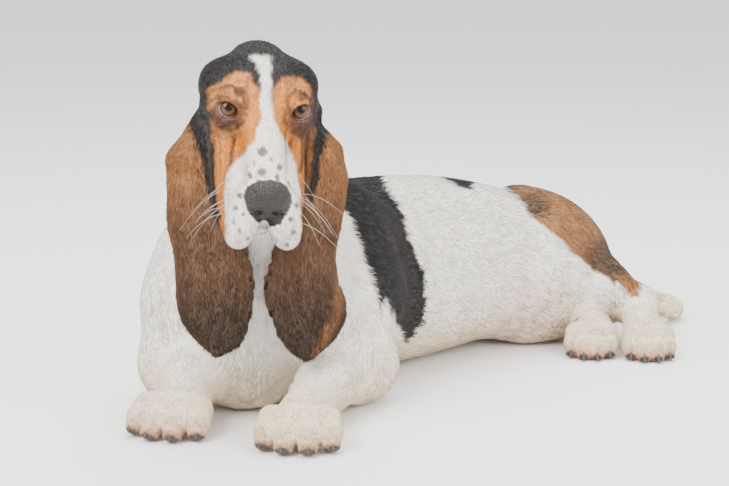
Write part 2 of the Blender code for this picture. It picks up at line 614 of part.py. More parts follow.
for foot, (tips, pads) in PAW_INFO.items():
    for i, (t, d, f, up) in enumerate(tips):
        M = Matrix.Translation(Vector(t + d * (CLAW_L * .24))) @ Vector(d).to_track_quat("Z", "Y").to_matrix().to_4x4()
        cut(body, linked("claw_room_%s_%d" % (foot, i + 1), claw_mesh(M, GAP * 1.2), CUTTERS))
        o = linked("claw_%s_%d" % (foot, i + 1), claw_mesh(M, 0), SOLIDS)
        cut(o, slab)

# parting cuts
CUTS = (
    ("head", (-.108, -.100, .288), (0, -.72, .69), .090, .100, (0, 1, 0)),
    ("neck", (-.088, -.035, .183), (-.12, -.50, .857), .185, .154, (0, 1, 0)),
    ("chest", (.052, .150, .122), (.72, .69, 0), .160, .150, (0, 0, 1)),
    ("loin", (.142, .2235, .110), (.80, .60, 0), .150, .150, (0, 0, 1)),
    ("tail", (.336, .362, .044), (.72, .62, -.30), .045, .050, (0, 0, 1)),
    ("elbow_left", (-.017, -.096, .041), (0, -1, 0), .0613, .0452, (0, 0, 1)),
    ("armpit_left", (-.078, -.1358, .041), (1, 0, 0), .0402, .0452, (0, 0, 1)),
    ("forearm_top_left", (-.017, -.1358, .086), (0, 0, 1), .0613, .0402, (0, 1, 0)),
    ("wrist_left", (-.057, -.182, .040), (-.35, -.93, -.10), .042, .048, (0, 0, 1)),
    ("elbow_right", (-.2170, -.118, .044), (0, -1, 0), .0453, .0482, (0, 0, 1)),
    ("armpit_right", (-.172, -.1378, .044), (1, 0, 0), .0202, .0482, (0, 0, 1)),
    ("forearm_top_right", (-.2170, -.1378, .092), (0, 0, 1), .0453, .0202, (0, 1, 0)),
    ("wrist_right", (-.1995, -.148, .044), (-.10, -.99, -.10), .042, .050, (0, 0, 1)),
    ("knees", (.262, .212, .085), (1, 0, 0), .0530, .130, (0, 0, 1)),
    ("calves", (.337, .2645, .085), (0, 1, 0), .0755, .130, (0, 0, 1)),
    ("hocks", (.3359, .1715, .038), (0, -1, 0), .0742, .0425, (0, 0, 1)),
    ("between_feet", (.3318, .1357, .0385), (1, 0, 0), .0360, .0425, (0, 0, 1)),
    ("between_hocks", (.3318, .2183, .0225), (1, 0, 0), .0469, .0240, (0, 0, 1)),
    ("between_shanks", (.2966, .2183, .0561), (.273, 0, .962), .0469, .0374, (1, 0, 0)),
)
for name, c, n, a, b, up in CUTS:
    cut(body, plate("cut_" + name, c, n, a, b, up))
tidy(body)

# each body takes the name of the place it is nearest to
PLACES = {
    "head": (-.110, -.165, .320), "neck": (-.118, -.045, .225), "thorax": (-.070, .036, .125),
    "abdomen": (.090, .190, .120), "hindquarters": (.218, .260, .110), "tail": (.385, .356, .033),
    "foreleg_left": (-.031, -.144, .046), "foreleg_right": (-.217, -.135, .045),
    "forepaw_left": (-.070, -.223, .036), "forepaw_right": (-.212, -.185, .042),
    "hindleg_left": (.328, .216, .100), "hindleg_right": (.297, .224, .033),
    "hindpaw_left": (.367, .148, .034), "hindpaw_right": (.294, .153, .030),
}
found = pieces(body)
middle = {x: coords(x.data).mean(0) for x in found}
parts = {}
for name, at in PLACES.items():
    near = min((x for x in found if x not in parts.values() and len(x.data.vertices) > 60), key=lambda x: np.linalg.norm(middle[x] - np.array(at)))
    parts[name] = near
    near.name = near.data.name = name
for x in found:
    if x not in parts.values():
        print("crumb", len(x.data.vertices), middle[x])
        bpy.data.objects.remove(x, do_unlink=True)

# ---- colours
COATS = {
    "white": material("coat_white", (.80, .76, .70), .8), "tan": material("coat_tan", (.42, .20, .08), .8),
    "brown": material("coat_brown", (.13, .07, .045), .8), "leather": material("nose_leather", (.03, .028, .03), .45),
    "eye": material("eye_brown", (.06, .025, .015), .15), "claw": material("claw_horn", (.16, .13, .11), .45),
}
TINT = {"head": "tan", "hindquarters": "tan", "nose": "leather"}
for o in list(SOLIDS.objects):
    kind = "eye" if o.name.startswith("eye") else "claw" if o.name.startswith("claw") else "brown" if o.name.startswith("ear") else TINT.get(o.name, "white")
    o.data.materials.clear()
    o.data.materials.append(COATS[kind])

# ---- from the working frame to the part frame
T = Matrix.Translation(SHIFT) @ Matrix.Rotation(TURN, 4, "Z")
for o in list(SOLIDS.objects) + list(CUTTERS.objects):
    o.data.transform(T)
    o.data.update()
    if o.name in CUTTERS.objects:
        o.hide_render = True
        o.display_type = "WIRE"
lo = np.min([coords(o.data).min(0) for o in SOLIDS.objects], axis=0)
hi = np.max([coords(o.data).max(0) for o in SOLIDS.objects], axis=0)
print("box", lo, hi, "centre", (lo + hi) / 2, "triangles", sum(len(p.vertices) - 2 for o in SOLIDS.objects for p in o.data.polygons))
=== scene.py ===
"""Basset hound lying down: skin, coat, eyes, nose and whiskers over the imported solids.

The skin is the same blended surface as the solids, drawn in by the depth of the
coat, with folds, lids and nostrils added.  Markings are functions of the place on
the body.  Everything is worked out in the working frame and turned at the end.
"""

import math

import bmesh
import bpy
import numpy as np
from mathutils import Matrix, Vector


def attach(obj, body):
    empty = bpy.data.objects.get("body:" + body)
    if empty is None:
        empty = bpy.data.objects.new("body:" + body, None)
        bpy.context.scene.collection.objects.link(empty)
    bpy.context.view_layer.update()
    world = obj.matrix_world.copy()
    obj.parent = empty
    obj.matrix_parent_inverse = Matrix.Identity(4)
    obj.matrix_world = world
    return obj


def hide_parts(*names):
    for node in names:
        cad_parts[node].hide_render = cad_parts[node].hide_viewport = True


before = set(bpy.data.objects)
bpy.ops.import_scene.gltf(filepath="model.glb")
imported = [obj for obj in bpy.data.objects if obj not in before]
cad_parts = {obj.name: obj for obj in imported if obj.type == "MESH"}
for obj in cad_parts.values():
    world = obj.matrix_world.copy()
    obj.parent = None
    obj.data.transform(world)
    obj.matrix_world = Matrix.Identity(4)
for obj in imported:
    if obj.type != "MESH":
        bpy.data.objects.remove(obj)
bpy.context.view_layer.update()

TURN = math.radians(48.0)
SHIFT = (.005006, -.134065, 0.0)
SKIN_IN = .0022            # skin lies this far inside the outline
CELL = .0042               # grid of the skin
SEED = 7


def rot_from(fwd, up):
    f=np.array(fwd,float); f/=np.linalg.norm(f)
    u=np.array(up,float); u-=f*(u@f); u/=np.linalg.norm(u)
    l=np.cross(u,f)      # left
    return np.stack([l,f,u])   # rows: local x=left, y=forward, z=up

class Ell:
    def __init__(s,c,r,R=None,k=.02,sub=False):
        s.c=np.array(c,float); s.r=np.array(r,float); s.R=None if R is None else np.array(R,float); s.k=k; s.sub=sub
        s.bc=s.c; s.br=max(r)
    def d(s,p):
        q=p-s.c
        if s.R is not None: q=q@s.R.T
        a=q/s.r; b=a/s.r
        k0=np.sqrt((a*a).sum(-1)); k1=np.sqrt((b*b).sum(-1))
        return k0*(k0-1)/np.maximum(k1,1e-9)

class Cone:
    """round cone between a and b"""
    def __init__(s,a,b,ra,rb,k=.02,sub=False):
        s.a=np.array(a,float); s.b=np.array(b,float); s.ra=ra; s.rb=rb; s.k=k; s.sub=sub
        s.bc=(s.a+s.b)/2; s.br=np.linalg.norm(s.b-s.a)/2+max(ra,rb)
    def d(s,p):
        ba=s.b-s.a; L2=ba@ba
        t=np.clip(((p-s.a)@ba)/L2,0,1)
        q=p-s.a-t[...,None]*ba
        return np.sqrt((q*q).sum(-1))-(s.ra+(s.rb-s.ra)*t)

def catmull(P,n):
    P=np.array(P,float); m=len(P)
    ext=np.vstack([2*P[0]-P[1],P,2*P[-1]-P[-2]])
    out=[]
    for i in range(m-1):
        p0,p1,p2,p3=ext[i:i+4]
        for j in range(n):
            t=j/n
            out.append(.5*((2*p1)+(-p0+p2)*t+(2*p0-5*p1+4*p2-p3)*t*t+(-p0+3*p1-3*p2+p3)*t**3))
    out.append(P[-1]); return np.array(out)

class Loft:
    """sections: rows of x,y,z, half-width, half-height, roll(deg)  ; ref: direction taken as up before roll"""
    def __init__(s,rows,n=5,ref=(0,0,1),caps=(1,1),k=.02,sub=False,power=2.0):
        M=catmull(rows,n); s.P=M[:,:3]; s.a=M[:,3]; s.b=M[:,4]; roll=np.radians(M[:,5])
        T=np.gradient(s.P,axis=0); T/=np.linalg.norm(T,axis=1)[:,None]
        ref=np.array(ref,float)
        U=ref-T*(T@ref)[:,None]; U/=np.linalg.norm(U,axis=1)[:,None]
        S=np.cross(U,T)
        s.T=T; s.U=U*np.cos(roll)[:,None]+np.cross(T,U)*np.sin(roll)[:,None]
        s.S=np.cross(s.U,T); s.caps=caps; s.k=k; s.sub=sub; s.pw=power
        s.bc=s.P.mean(0); s.br=np.max(np.linalg.norm(s.P-s.bc,axis=1)+np.maximum(s.a,s.b)*1.1)
    def local(s,p):
        P=s.P; A=P[:-1]; B=P[1:]-A; L2=(B*B).sum(1)
        best=np.full(len(p),1e9); bi=np.zeros(len(p),int); bt=np.zeros(len(p))
        for i in range(len(A)):
            q=p-A[i]; t=(q@B[i])/L2[i]
            tc=np.clip(t,0,1)
            r=q-tc[:,None]*B[i]; dd=(r*r).sum(1)
            m=dd<best; best[m]=dd[m]; bi[m]=i; bt[m]=tc[m]
        i=bi; t=bt[:,None]
        c=A[i]+B[i]*t
        def mix(V): return V[i]*(1-t)+V[i+1]*t
        S=mix(s.S); U=mix(s.U); T=mix(s.T)
        a=s.a[i]*(1-bt)+s.a[i+1]*bt; b=s.b[i]*(1-bt)+s.b[i+1]*bt
        q=p-c
        return (q*S).sum(1),(q*U).sum(1),(q*T).sum(1),a,b,(i+bt)/(len(A))
    def d(s,p):
        x,y,w,a,b,t=s.local(p)
        end=np.where(t<.001,s.caps[0],np.where(t>.999,s.caps[1],0))
        c=np.where(end>0,np.minimum(a,b)*np.maximum(end,.05),1e9)
        w=np.where(end>0,w,0)
        q=np.stack([x/a,y/b,w/c],-1); g=np.stack([x/a**2,y/b**2,w/c**2],-1)
        if s.pw!=2.0:
            n=s.pw
            k0=(np.abs(q)**n).sum(-1)**(1/n); gg=np.abs(q)**(n-1)*np.sign(q)/np.stack([a,b,c],-1)
            k1=np.sqrt((gg*gg).sum(-1))/np.maximum(k0,1e-9)**(n-1)
            return (k0-1)/np.maximum(k1,1e-9)
        k0=np.sqrt((q*q).sum(-1)); k1=np.sqrt((g*g).sum(-1))
        return k0*(k0-1)/np.maximum(k1,1e-9)

def smin(a,b,k):
    if k<=0: return np.minimum(a,b)
    h=np.maximum(k-np.abs(a-b),0)/k
    return np.minimum(a,b)-h*h*k*.25
def smax(a,b,k): return -smin(-a,-b,k)

def union(prims,p,far=.3,reach=.07):
    c=p.mean(0); R=np.sqrt(((p-c)**2).sum(1).max())
    d=np.full(len(p),far)
    for s in prims:
        lb=np.linalg.norm(s.bc-c)-R-s.br
        if lb>reach: continue
        e=s.d(p)
        d=smax(d,-e,s.k) if s.sub else smin(d,e,s.k)
    return d

def blocks_eval(fn,p,bs=.05):
    """evaluates fn over points in spatial blocks"""
    key=np.floor(p/bs).astype(int); key-=key.min(0)
    kk=(key[:,0]*1000+key[:,1])*1000+key[:,2]
    o=np.argsort(kk,kind="stable"); ks=kk[o]
    cut=np.flatnonzero(np.diff(ks))+1
    out=np.empty(len(p))
    for idx in np.split(o,cut): out[idx]=fn(p[idx])
    return out


def nets(V,lo,h):
    s=V<0; n=np.array(V.shape)
    acc=np.zeros(tuple(n-1)+(3,),np.float32); cnt=np.zeros(tuple(n-1),np.int16)
    corners=[(a,b,c) for a in (0,1) for b in (0,1) for c in (0,1)]
    sl=lambda o:tuple(slice(o[i],n[i]-1+o[i]) for i in range(3))
    for a in corners:
        for ax in range(3):
            if a[ax]: continue
            b=list(a); b[ax]=1
            va,vb=V[sl(a)],V[sl(b)]
            m=(va<0)!=(vb<0)
            if not m.any(): continue
            t=np.where(m,va/np.where(m,va-vb,1),0)
            cnt+=m
            for x in range(3):
                acc[...,x]+=np.where(m,(t if x==ax else a[x]),0)
    idx=-np.ones(tuple(n-1),np.int64); m=cnt>0
    idx[m]=np.arange(m.sum())
    cells=np.argwhere(m)
    P=lo+(cells+acc[m]/cnt[m][:,None])*h
    F=[]
    for ax in range(3):
        u,v=(ax+1)%3,(ax+2)%3
        A=[slice(None)]*3; B=[slice(None)]*3; A[ax]=slice(0,-1); B[ax]=slice(1,None)
        a,b=s[tuple(A)],s[tuple(B)]
        e=np.argwhere(a!=b)
        e=e[(e[:,u]>0)&(e[:,v]>0)&(e[:,u]<n[u]-1)&(e[:,v]<n[v]-1)]
        sign=s[tuple(e.T)]
        def at(du,dv):
            q=e.copy(); q[:,u]-=du; q[:,v]-=dv
            return idx[tuple(q.T)]
        f=np.stack([at(1,1),at(0,1),at(0,0),at(1,0)],-1)
        f[~sign]=f[~sign][:,::-1]
        F.append(f)
    return P,np.vstack(F)


# ---- the animal's masses
Z=np.array([0,0,1.])
# ---------- head frame
HP,HY,HR=math.radians(41),math.radians(7),math.radians(-4)
HO=np.array([-.1120,-.157,.3855])
def head_frame():
    f=np.array([math.sin(HY)*math.cos(HP),-math.cos(HY)*math.cos(HP),-math.sin(HP)])
    u=Z-f*(Z@f); u/=np.linalg.norm(u)
    # roll about f
    u=u*math.cos(HR)+np.cross(f,u)*math.sin(HR)
    l=np.cross(u,f)   # dog's left
    return l,f,u
HL,HF,HU=head_frame()
def H(l,f,u): return HO+HL*l+HF*f+HU*u
HRm=np.stack([HL,HF,HU])
def hell(c,r,k=.015,sub=False,both=True,tilt=None):
    out=[]
    for s in ((1,-1) if both and abs(c[0])>1e-6 else (1,)):
        R=HRm
        if tilt is not None:
            ax,ang=tilt   # rotation within head frame
            ang=math.radians(ang)*(s if ax!='l' else 1)
            c_,s_=math.cos(ang),math.sin(ang)
            if ax=='l': Rl=np.array([[1,0,0],[0,c_,s_],[0,-s_,c_]])
            elif ax=='f': Rl=np.array([[c_,0,-s_],[0,1,0],[s_,0,c_]])
            else: Rl=np.array([[c_,s_,0],[-s_,c_,0],[0,0,1]])
            R=Rl@HRm
        out.append(Ell(H(c[0]*s,c[1],c[2]),r,R,k,sub))
    return out
def hcone(a,b,ra,rb,k=.012,sub=False,both=True):
    out=[]
    for s in ((1,-1) if both and (abs(a[0])>1e-6 or abs(b[0])>1e-6) else (1,)):
        out.append(Cone(H(a[0]*s,a[1],a[2]),H(b[0]*s,b[1],b[2]),ra,rb,k,sub))
    return out
def hloft(rows,n=4,k=.012,both=True,ref=None,sub=False,pw=2.0,caps=(1,1)):
    out=[]
    for s in ((1,-1) if both else (1,)):
        R=[]
        for r in rows:
            c=H(r[0]*s,r[1],r[2]); R.append([*c,r[3],r[4],(r[5] if len(r)>5 else 0)*s])
        out.append(Loft(R,n,ref=HU if ref is None else ref,k=k,sub=sub,power=pw,caps=caps))
    return out

EYE_R=.0112
EYE=(.0375,.0495,.0100)
def hang(l,f,u,h):
    return (l,f+math.sin(HP)*h,u-math.cos(HP)*h)
def vloft(rows,k=.012,n=4):
    """flap hanging straight down: rows of l,f,u start point, drop, half thickness across, half length fore and aft"""
    out=[]
    ref=(math.sin(HY),-math.cos(HY),0)
    for s in (1,-1):
        R=[]
        for l,f,u,h,a_,b_ in rows:
            c=hang(l,f,u,h); R.append([*H(c[0]*s,c[1],c[2]),a_,b_,0])
        out.append(Loft(R,n,ref=ref,k=k))
    return out
def head():
    P=[]
    P+=hell((0,-.004,-.0125),(.0475,.052,.0360),k=0)                       # skull
    P+=hell((0,-.046,-.016),(.024,.016,.022),k=.03)                       # occiput
    P+=hell((0,.030,.006),(.037,.034,.022),k=.025)                       # forehead
    P+=hloft([(0,.030,.000,.032,.027),(0,.060,-.003,.0255,.0245),(0,.092,-.007,.0225,.0225),(0,.124,-.008,.0220,.0205),(0,.149,-.009,.0225,.0185)],both=False,k=.020,pw=2.3)  # muzzle bridge
    P+=hell((0,.096,-.036),(.026,.058,.024),k=.02)                       # lower muzzle
    P+=hell((.035,.006,-.036),(.021,.042,.034),k=.022)                   # cheeks
    P+=hell((.032,.044,.0195),(.0150,.015,.0075),k=.014,tilt=('f',-20))  # brow
    P+=hcone((.042,.038,-.012),(.049,-.005,-.010),.0115,.014,k=.02)
    P+=hloft([(.041,.034,-.048,.010,.030,8),(.039,.062,-.056,.0105,.037,8),(.0365,.092,-.062,.0112,.043,6),(.0330,.122,-.064,.0125,.042,3),(.0255,.150,-.058,.0140,.032,0)],k=.014)   # upper lip
    P+=hcone((.0170,.143,-.028),(.0225,.160,-.050),.0175,.0160,k=.010)
    P+=hcone((.0225,.160,-.050),(.0250,.166,-.060),.0160,.0125,k=.010)
    P+=hloft([(0,.018,-.062,.030,.016),(0,.066,-.074,.024,.012),(0,.102,-.086,.019,.011),(0,.125,-.093,.0155,.010)],both=False,k=.006)
    P+=hell((.040,.040,-.072),(.009,.024,.020),k=.014)
    P+=hell((0,.1530,-.0090),(.0235,.0125,.0165),k=.005)
    P+=hell((.0125,.1555,-.0120),(.0120,.0115,.0130),k=.005)
    return P
def eyes_pos():
    return [H(s*EYE[0],EYE[1],EYE[2]) for s in (1,-1)]
def lids():
    out=[]
    for s in (1,-1):
        c=H(s*EYE[0],EYE[1],EYE[2])
        out.append(Ell(c,(EYE_R+.0032,)*3,HRm,.009))
    return out
class Ear:
    """hanging leaf given as level slices: rows z, outer x,y, mid x,y, inner x,y, half-thickness"""
    def __init__(s,rows,k=.006):
        M=catmull(sorted(rows),6); s.M=M; s.z=M[:,0]; s.k=k; s.sub=False
        lo=M[:,[1,3,5]].min(),M[:,[2,4,6]].min(); hi=M[:,[1,3,5]].max(),M[:,[2,4,6]].max()
        s.bc=np.array([(lo[0]+hi[0])/2,(lo[1]+hi[1])/2,(s.z[0]+s.z[-1])/2])
        s.br=math.sqrt((hi[0]-lo[0])**2+(hi[1]-lo[1])**2+(s.z[-1]-s.z[0])**2)/2+.012
    def d(s,p):
        z=np.clip(p[:,2],s.z[0],s.z[-1]); R=[np.interp(z,s.z,s.M[:,i]) for i in range(1,8)]
        out=np.array(R[0:2]);mid=np.array(R[2:4]);inn=np.array(R[4:6]); th=R[6]
        best=np.full(len(p),1e9); n=10; prev=None
        for i in range(n+1):
            t=i/n; c=(1-t)**2*out+2*t*(1-t)*mid+t*t*inn
            if prev is not None:
                e=c-prev; q=p[:,:2].T-prev; L=np.maximum((e*e).sum(0),1e-12)
                tt=np.clip((q*e).sum(0)/L,0,1); r=q-e*tt; dd=np.sqrt((r*r).sum(0))
                tg=(i-1+tt)/n; edge=np.minimum(tg,1-tg)
                hth=th*np.clip(.55+edge*4,0,1)
                best=np.minimum(best,dd-hth)
            prev=c
        dz=p[:,2]-z
        return np.where(np.abs(dz)>0,np.sqrt(np.maximum(best+th,0)**2+dz**2)-th*.8,best)
EAR_ROWS={
 "R":[(0.374, -0.163, -0.128, -0.1658, -0.137, -0.16, -0.146, 0.005), (0.356, -0.1749, -0.121, -0.1762, -0.14, -0.16, -0.156, 0.0062), (0.338, -0.1873, -0.1196, -0.184, -0.1549, -0.15, -0.1597, 0.0066), (0.325, -0.1956, -0.1211, -0.1923, -0.1595, -0.1497, -0.1614, 0.0064), (0.312, -0.2072, -0.1225, -0.2037, -0.164, -0.1488, -0.163, 0.0062), (0.3, -0.2139, -0.1239, -0.2103, -0.1682, -0.148, -0.1645, 0.006), (0.28, -0.216, -0.1261, -0.1961, -0.1752, -0.145, -0.1669, 0.0057), (0.255, -0.2156, -0.129, -0.1945, -0.184, -0.1407, -0.1701, 0.0053), (0.225, -0.2162, -0.1324, -0.1929, -0.1945, -0.1329, -0.1738, 0.0048), (0.195, -0.21, -0.1357, -0.1864, -0.205, -0.1257, -0.1775, 0.0043), (0.165, -0.2078, -0.1391, -0.1834, -0.212, -0.1207, -0.1812, 0.0039), (0.138, -0.2067, -0.1422, -0.1833, -0.212, -0.1232, -0.1846, 0.0036), (0.12, -0.2017, -0.1442, -0.1809, -0.212, -0.1276, -0.1868, 0.0036), (0.107, -0.1906, -0.1543, -0.1747, -0.2086, -0.1337, -0.188, 0.0036), (0.0985, -0.1781, -0.1643, -0.1677, -0.2049, -0.141, -0.188, 0.0036), (0.0925, -0.1661, -0.1714, -0.163, -0.2024, -0.1548, -0.188, 0.0036)],
 "L":[(0.374, -0.063, -0.128, -0.0613, -0.137, -0.068, -0.146, 0.005), (0.356, -0.054, -0.121, -0.0521, -0.14, -0.064, -0.156, 0.0062), (0.338, -0.054, -0.1196, -0.0506, -0.1549, -0.0607, -0.1597, 0.0066), (0.325, -0.0425, -0.1211, -0.0407, -0.1595, -0.061, -0.1614, 0.0064), (0.313, -0.0313, -0.1224, -0.0309, -0.1637, -0.0634, -0.1628, 0.0062), (0.3, -0.028, -0.1239, -0.028, -0.1682, -0.066, -0.1645, 0.006), (0.28, -0.0215, -0.1261, -0.0349, -0.1752, -0.071, -0.1669, 0.0057), (0.255, -0.0229, -0.129, -0.0379, -0.184, -0.0785, -0.1701, 0.0053), (0.225, -0.0279, -0.1324, -0.0445, -0.1945, -0.0892, -0.1738, 0.0048), (0.195, -0.0337, -0.1357, -0.052, -0.205, -0.1007, -0.1775, 0.0043), (0.165, -0.0305, -0.1391, -0.0515, -0.212, -0.1075, -0.1812, 0.0039), (0.138, -0.0216, -0.1422, -0.044, -0.212, -0.1034, -0.1846, 0.0036), (0.118, -0.0238, -0.1444, -0.0432, -0.212, -0.0952, -0.1871, 0.0036), (0.104, -0.0333, -0.1578, -0.0478, -0.2073, -0.0868, -0.188, 0.0036), (0.094, -0.0466, -0.1697, -0.0548, -0.203, -0.0776, -0.188, 0.0036), (0.088, -0.0581, -0.1768, -0.0604, -0.2004, -0.0681, -0.188, 0.0036)],
}
def ear_lofts(k=.006): return [Ear(EAR_ROWS["R"],k),Ear(EAR_ROWS["L"],k)]
def ear_roots():
    P=[]
    P+=hcone((.038,-.012,-.012),(.052,-.020,-.034),.0125,.012,k=.020)
    P+=hcone((.042,.000,-.010),(.054,.008,-.036),.0085,.009,k=.018)
    return P

def torso():
    P=[]
    tr=Loft([(-.150,-.085,.120,.052,.070,0),(-.125,-.045,.121,.085,.111,0),(-.095,.005,.123,.102,.124,0),(-.020,.090,.121,.106,.123,5),(.070,.165,.117,.102,.121,15),(.148,.228,.108,.096,.111,35),(.212,.272,.096,.087,.097,55),(.266,.306,.079,.068,.077,65),(.306,.328,.058,.046,.054,65)],5,k=0,caps=(1,1))
    P.append(tr)
    # neck
    P.append(Loft([(-.080,.030,.165,.078,.075,0),(-.092,-.025,.220,.062,.070,0),(-.102,-.070,.280,.050,.060,0),(-.109,-.105,.335,.042,.050,0)],5,ref=(0,1,.6),k=.045))
    # throat / dewlap
    P.append(Cone((-.108,-.140,.300),(-.116,-.105,.200),.022,.040,k=.04))
    P.append(Cone((-.113,-.110,.200),(-.130,-.090,.100),.042,.050,k=.05))
    P.append(Ell((-.137,-.075,.056),(.060,.055,.060),k=.05))     # keel of chest on the floor
    return P
def forelegs():
    P=[]
    # left (viewer's right)
    P.append(Ell((-.016,-.008,.142),(.046,.058,.085),k=.05))       # shoulder/upper arm L
    P.append(Cone((-.024,-.035,.110),(-.006,-.050,.048),.048,.040,k=.04))
    P.append(Cone((-.004,-.055,.040),(-.046,-.150,.046),.039,.031,k=.03)) # forearm
    P.append(Cone((-.045,-.150,.044),(-.066,-.205,.0325),.0285,.028,k=.02))   # wrist
    # right
    P.append(Ell((-.205,-.040,.135),(.048,.060,.085),k=.05))
    P.append(Cone((-.205,-.060,.110),(-.215,-.070,.055),.050,.042,k=.04))
    P.append(Cone((-.215,-.070,.046),(-.197,-.130,.050),.042,.034,k=.03))
    P.append(Cone((-.197,-.130,.047),(-.203,-.165,.0345),.030,.028,k=.02))
    return P
def paw(center,fwd,w,toes=4,L=.058,r=.0125,h=.024,dew=None,spread=11,up=(0,0,1),k=.004):
    """paw: toes fanned about fwd.  centre is on the wrist end; returns prims, claw list"""
    P=[];claws=[];pads=[]
    fwd=np.array(fwd,float); fwd/=np.linalg.norm(fwd); up=np.array(up,float); up-=fwd*(up@fwd); up/=np.linalg.norm(up)
    side=np.cross(up,fwd)   # to the left
    c=np.array(center,float)
    lens=(.80,1.0,1.0,.80); offs=(-1.5,-.5,.5,1.5)
    for i,(o,ln) in enumerate(zip(offs,lens)):
        a=math.radians(-spread*o)
        d=fwd*math.cos(a)-side*math.sin(a)
        d=fwd*math.cos(a)+side*math.sin(math.radians(spread*o))
        b=c+side*(o*w*.25)
        k1=b+d*(L*ln*.50)+up*(h*.42)        # knuckle high
        k2=b+d*(L*ln*.82)+up*(h*.02)
        tip=b+d*(L*ln*1.0)-up*(h*.36)
        P.append(Cone(b,k1,r*1.08,r*1.14,k=.010))
        P.append(Cone(k1,k2,r*1.14,r*1.08,k=k))
        P.append(Cone(k2,tip,r*1.06,r*.86,k=k))
        claws.append((tip+up*(h*.20)+d*r*.35,(d*1.0-up*.75)/np.linalg.norm(d*1.0-up*.75),d,up))
        pads.append((tip-up*(h*.15)+d*r*.15,d,up))
    return P,claws,pads
def hindlegs():
    P=[]
    # upper = left: thigh
    P.append(Ell((.236,.262,.118),(.064,.078,.066),k=.05,R=rot_from((.3,-.8,-.4),(0,0,1))))
    P.append(Cone((.252,.278,.112),(.242,.232,.102),.060,.050,k=.04))
    P.append(Cone((.245,.235,.100),(.315,.232,.074),.047,.037,k=.03))
    P.append(Cone((.315,.232,.074),(.362,.228,.050),.036,.027,k=.02))
    P.append(Cone((.364,.230,.050),(.361,.165,.036),.0280,.0255,k=.014))
    # lower = right
    P.append(Cone((.260,.290,.068),(.218,.232,.050),.062,.046,k=.05))
    P.append(Cone((.218,.232,.048),(.300,.230,.038),.044,.030,k=.02))
    P.append(Cone((.300,.230,.036),(.299,.176,.034),.0270,.0245,k=.012))
    return P
def tail():
    return [Loft([(.300,.330,.060,.026,.026,0),(.345,.368,.035,.022,.022,0),(.392,.392,.0190,.0185,.0185,0),(.428,.388,.0158,.0165,.0165,0),(.437,.360,.0150,.0145,.0145,0),(.424,.330,.0200,.0125,.0125,0),(.404,.308,.030,.0085,.0085,0)],5,k=.015,caps=(1,1))]
PAWS={}
def paws():
    P=[];C={}
    for n,c,fw,w,L,up in (("fore_left",(-.067,-.207,.0200),(-.10,-1,0),.062,.056,(0,0,1)),
                       ("fore_right",(-.204,-.160,.0200),(-.30,-1,0),.062,.056,(0,0,1)),
                       ("hind_left",(.3665,.172,.0205),(-.02,-1,-.1),.046,.050,(0,0,1)),
                       ("hind_right",(.2960,.182,.0205),(-.12,-1,-.1),.046,.050,(0,0,1))):
        p,cl,pd=paw(c,fw,w,L=L,r=.0140 if n[0]=='f' else .0118,up=up,spread=11 if n[0]=='f' else 6)
        P+=p; C[n]=(cl,pd)
    return P,C
def floor(d,p,k=.004): return smax(d,-p[:,2],k)


# ------------------------------------------------------------------ frames
def to_part(p):
    c, s = math.cos(TURN), math.sin(TURN)
    q = np.array(p, float)
    x, y = q[..., 0].copy(), q[..., 1].copy()
    q[..., 0] = c * x - s * y + SHIFT[0]
    q[..., 1] = s * x + c * y + SHIFT[1]
    return q


def turn_dir(d):
    c, s = math.cos(TURN), math.sin(TURN)
    q = np.array(d, float)
    x, y = q[..., 0].copy(), q[..., 1].copy()
    q[..., 0] = c * x - s * y
    q[..., 1] = s * x + c * y
    return q


def head_coords(p):
    q = p - HO
    return q @ HL, q @ HF, q @ HU


# the outlines of the markings are laid out as they are seen from one side, in
# hundredths of the picture's width from here
EYE_AT = np.array([0.0, -2.0, .564])
PITCH = math.radians(10.9)
LOOK = np.array([0, math.cos(PITCH), -math.sin(PITCH)])
LIFT = np.array([0, math.sin(PITCH), math.cos(PITCH)])


def side_uv(p):
    q = p - EYE_AT
    z = q @ LOOK
    return 364.5 + 1715.0 * q[:, 0] / z, 243 - 1715.0 * (q @ LIFT) / z


# ------------------------------------------------------------------ noise
def hash3(i, j, k, seed):
    n = (i * 374761393 + j * 668265263 + k * 2147483647 + seed * 974711) & 0xFFFFFFFF
    n = ((n ^ (n >> 13)) * 1274126177) & 0xFFFFFFFF
    return ((n ^ (n >> 16)) & 0xFFFF) / 65535.0


def noise(p, size, seed=0):
    q = p / size
    i = np.floor(q).astype(np.int64)
    f = q - i
    f = f * f * (3 - 2 * f)
    out = 0
    for a in (0, 1):
        for b in (0, 1):
            for c in (0, 1):
                w = (f[:, 0] if a else 1 - f[:, 0]) * (f[:, 1] if b else 1 - f[:, 1]) * (f[:, 2] if c else 1 - f[:, 2])
                out = out + w * hash3(i[:, 0] + a, i[:, 1] + b, i[:, 2] + c, seed)
    return out * 2 - 1


def step(a, b, x):
    t = np.clip((x - a) / (b - a), 0, 1)
    return t * t * (3 - 2 * t)


def inside(poly, u, v, soft=2.0):
    """1 inside the outline, 0 outside, soft across its edge"""
    P = np.array(poly, float)
    Q = np.roll(P, -1, 0)
    best = np.full(len(u), 1e9)
    odd = np.zeros(len(u), bool)
    for (x0, y0), (x1, y1) in zip(P, Q):
        ex, ey = x1 - x0, y1 - y0
        t = np.clip(((u - x0) * ex + (v - y0) * ey) / max(ex * ex + ey * ey, 1e-9), 0, 1)
        best = np.minimum(best, np.hypot(u - x0 - t * ex, v - y0 - t * ey))
        c = (y0 > v) != (y1 > v)
        odd ^= c & (u < (x1 - x0) * (v - y0) / (y1 - y0 if y1 != y0 else 1e-9) + x0)
    d = np.where(odd, best, -best)
    return step(-soft, soft, d)


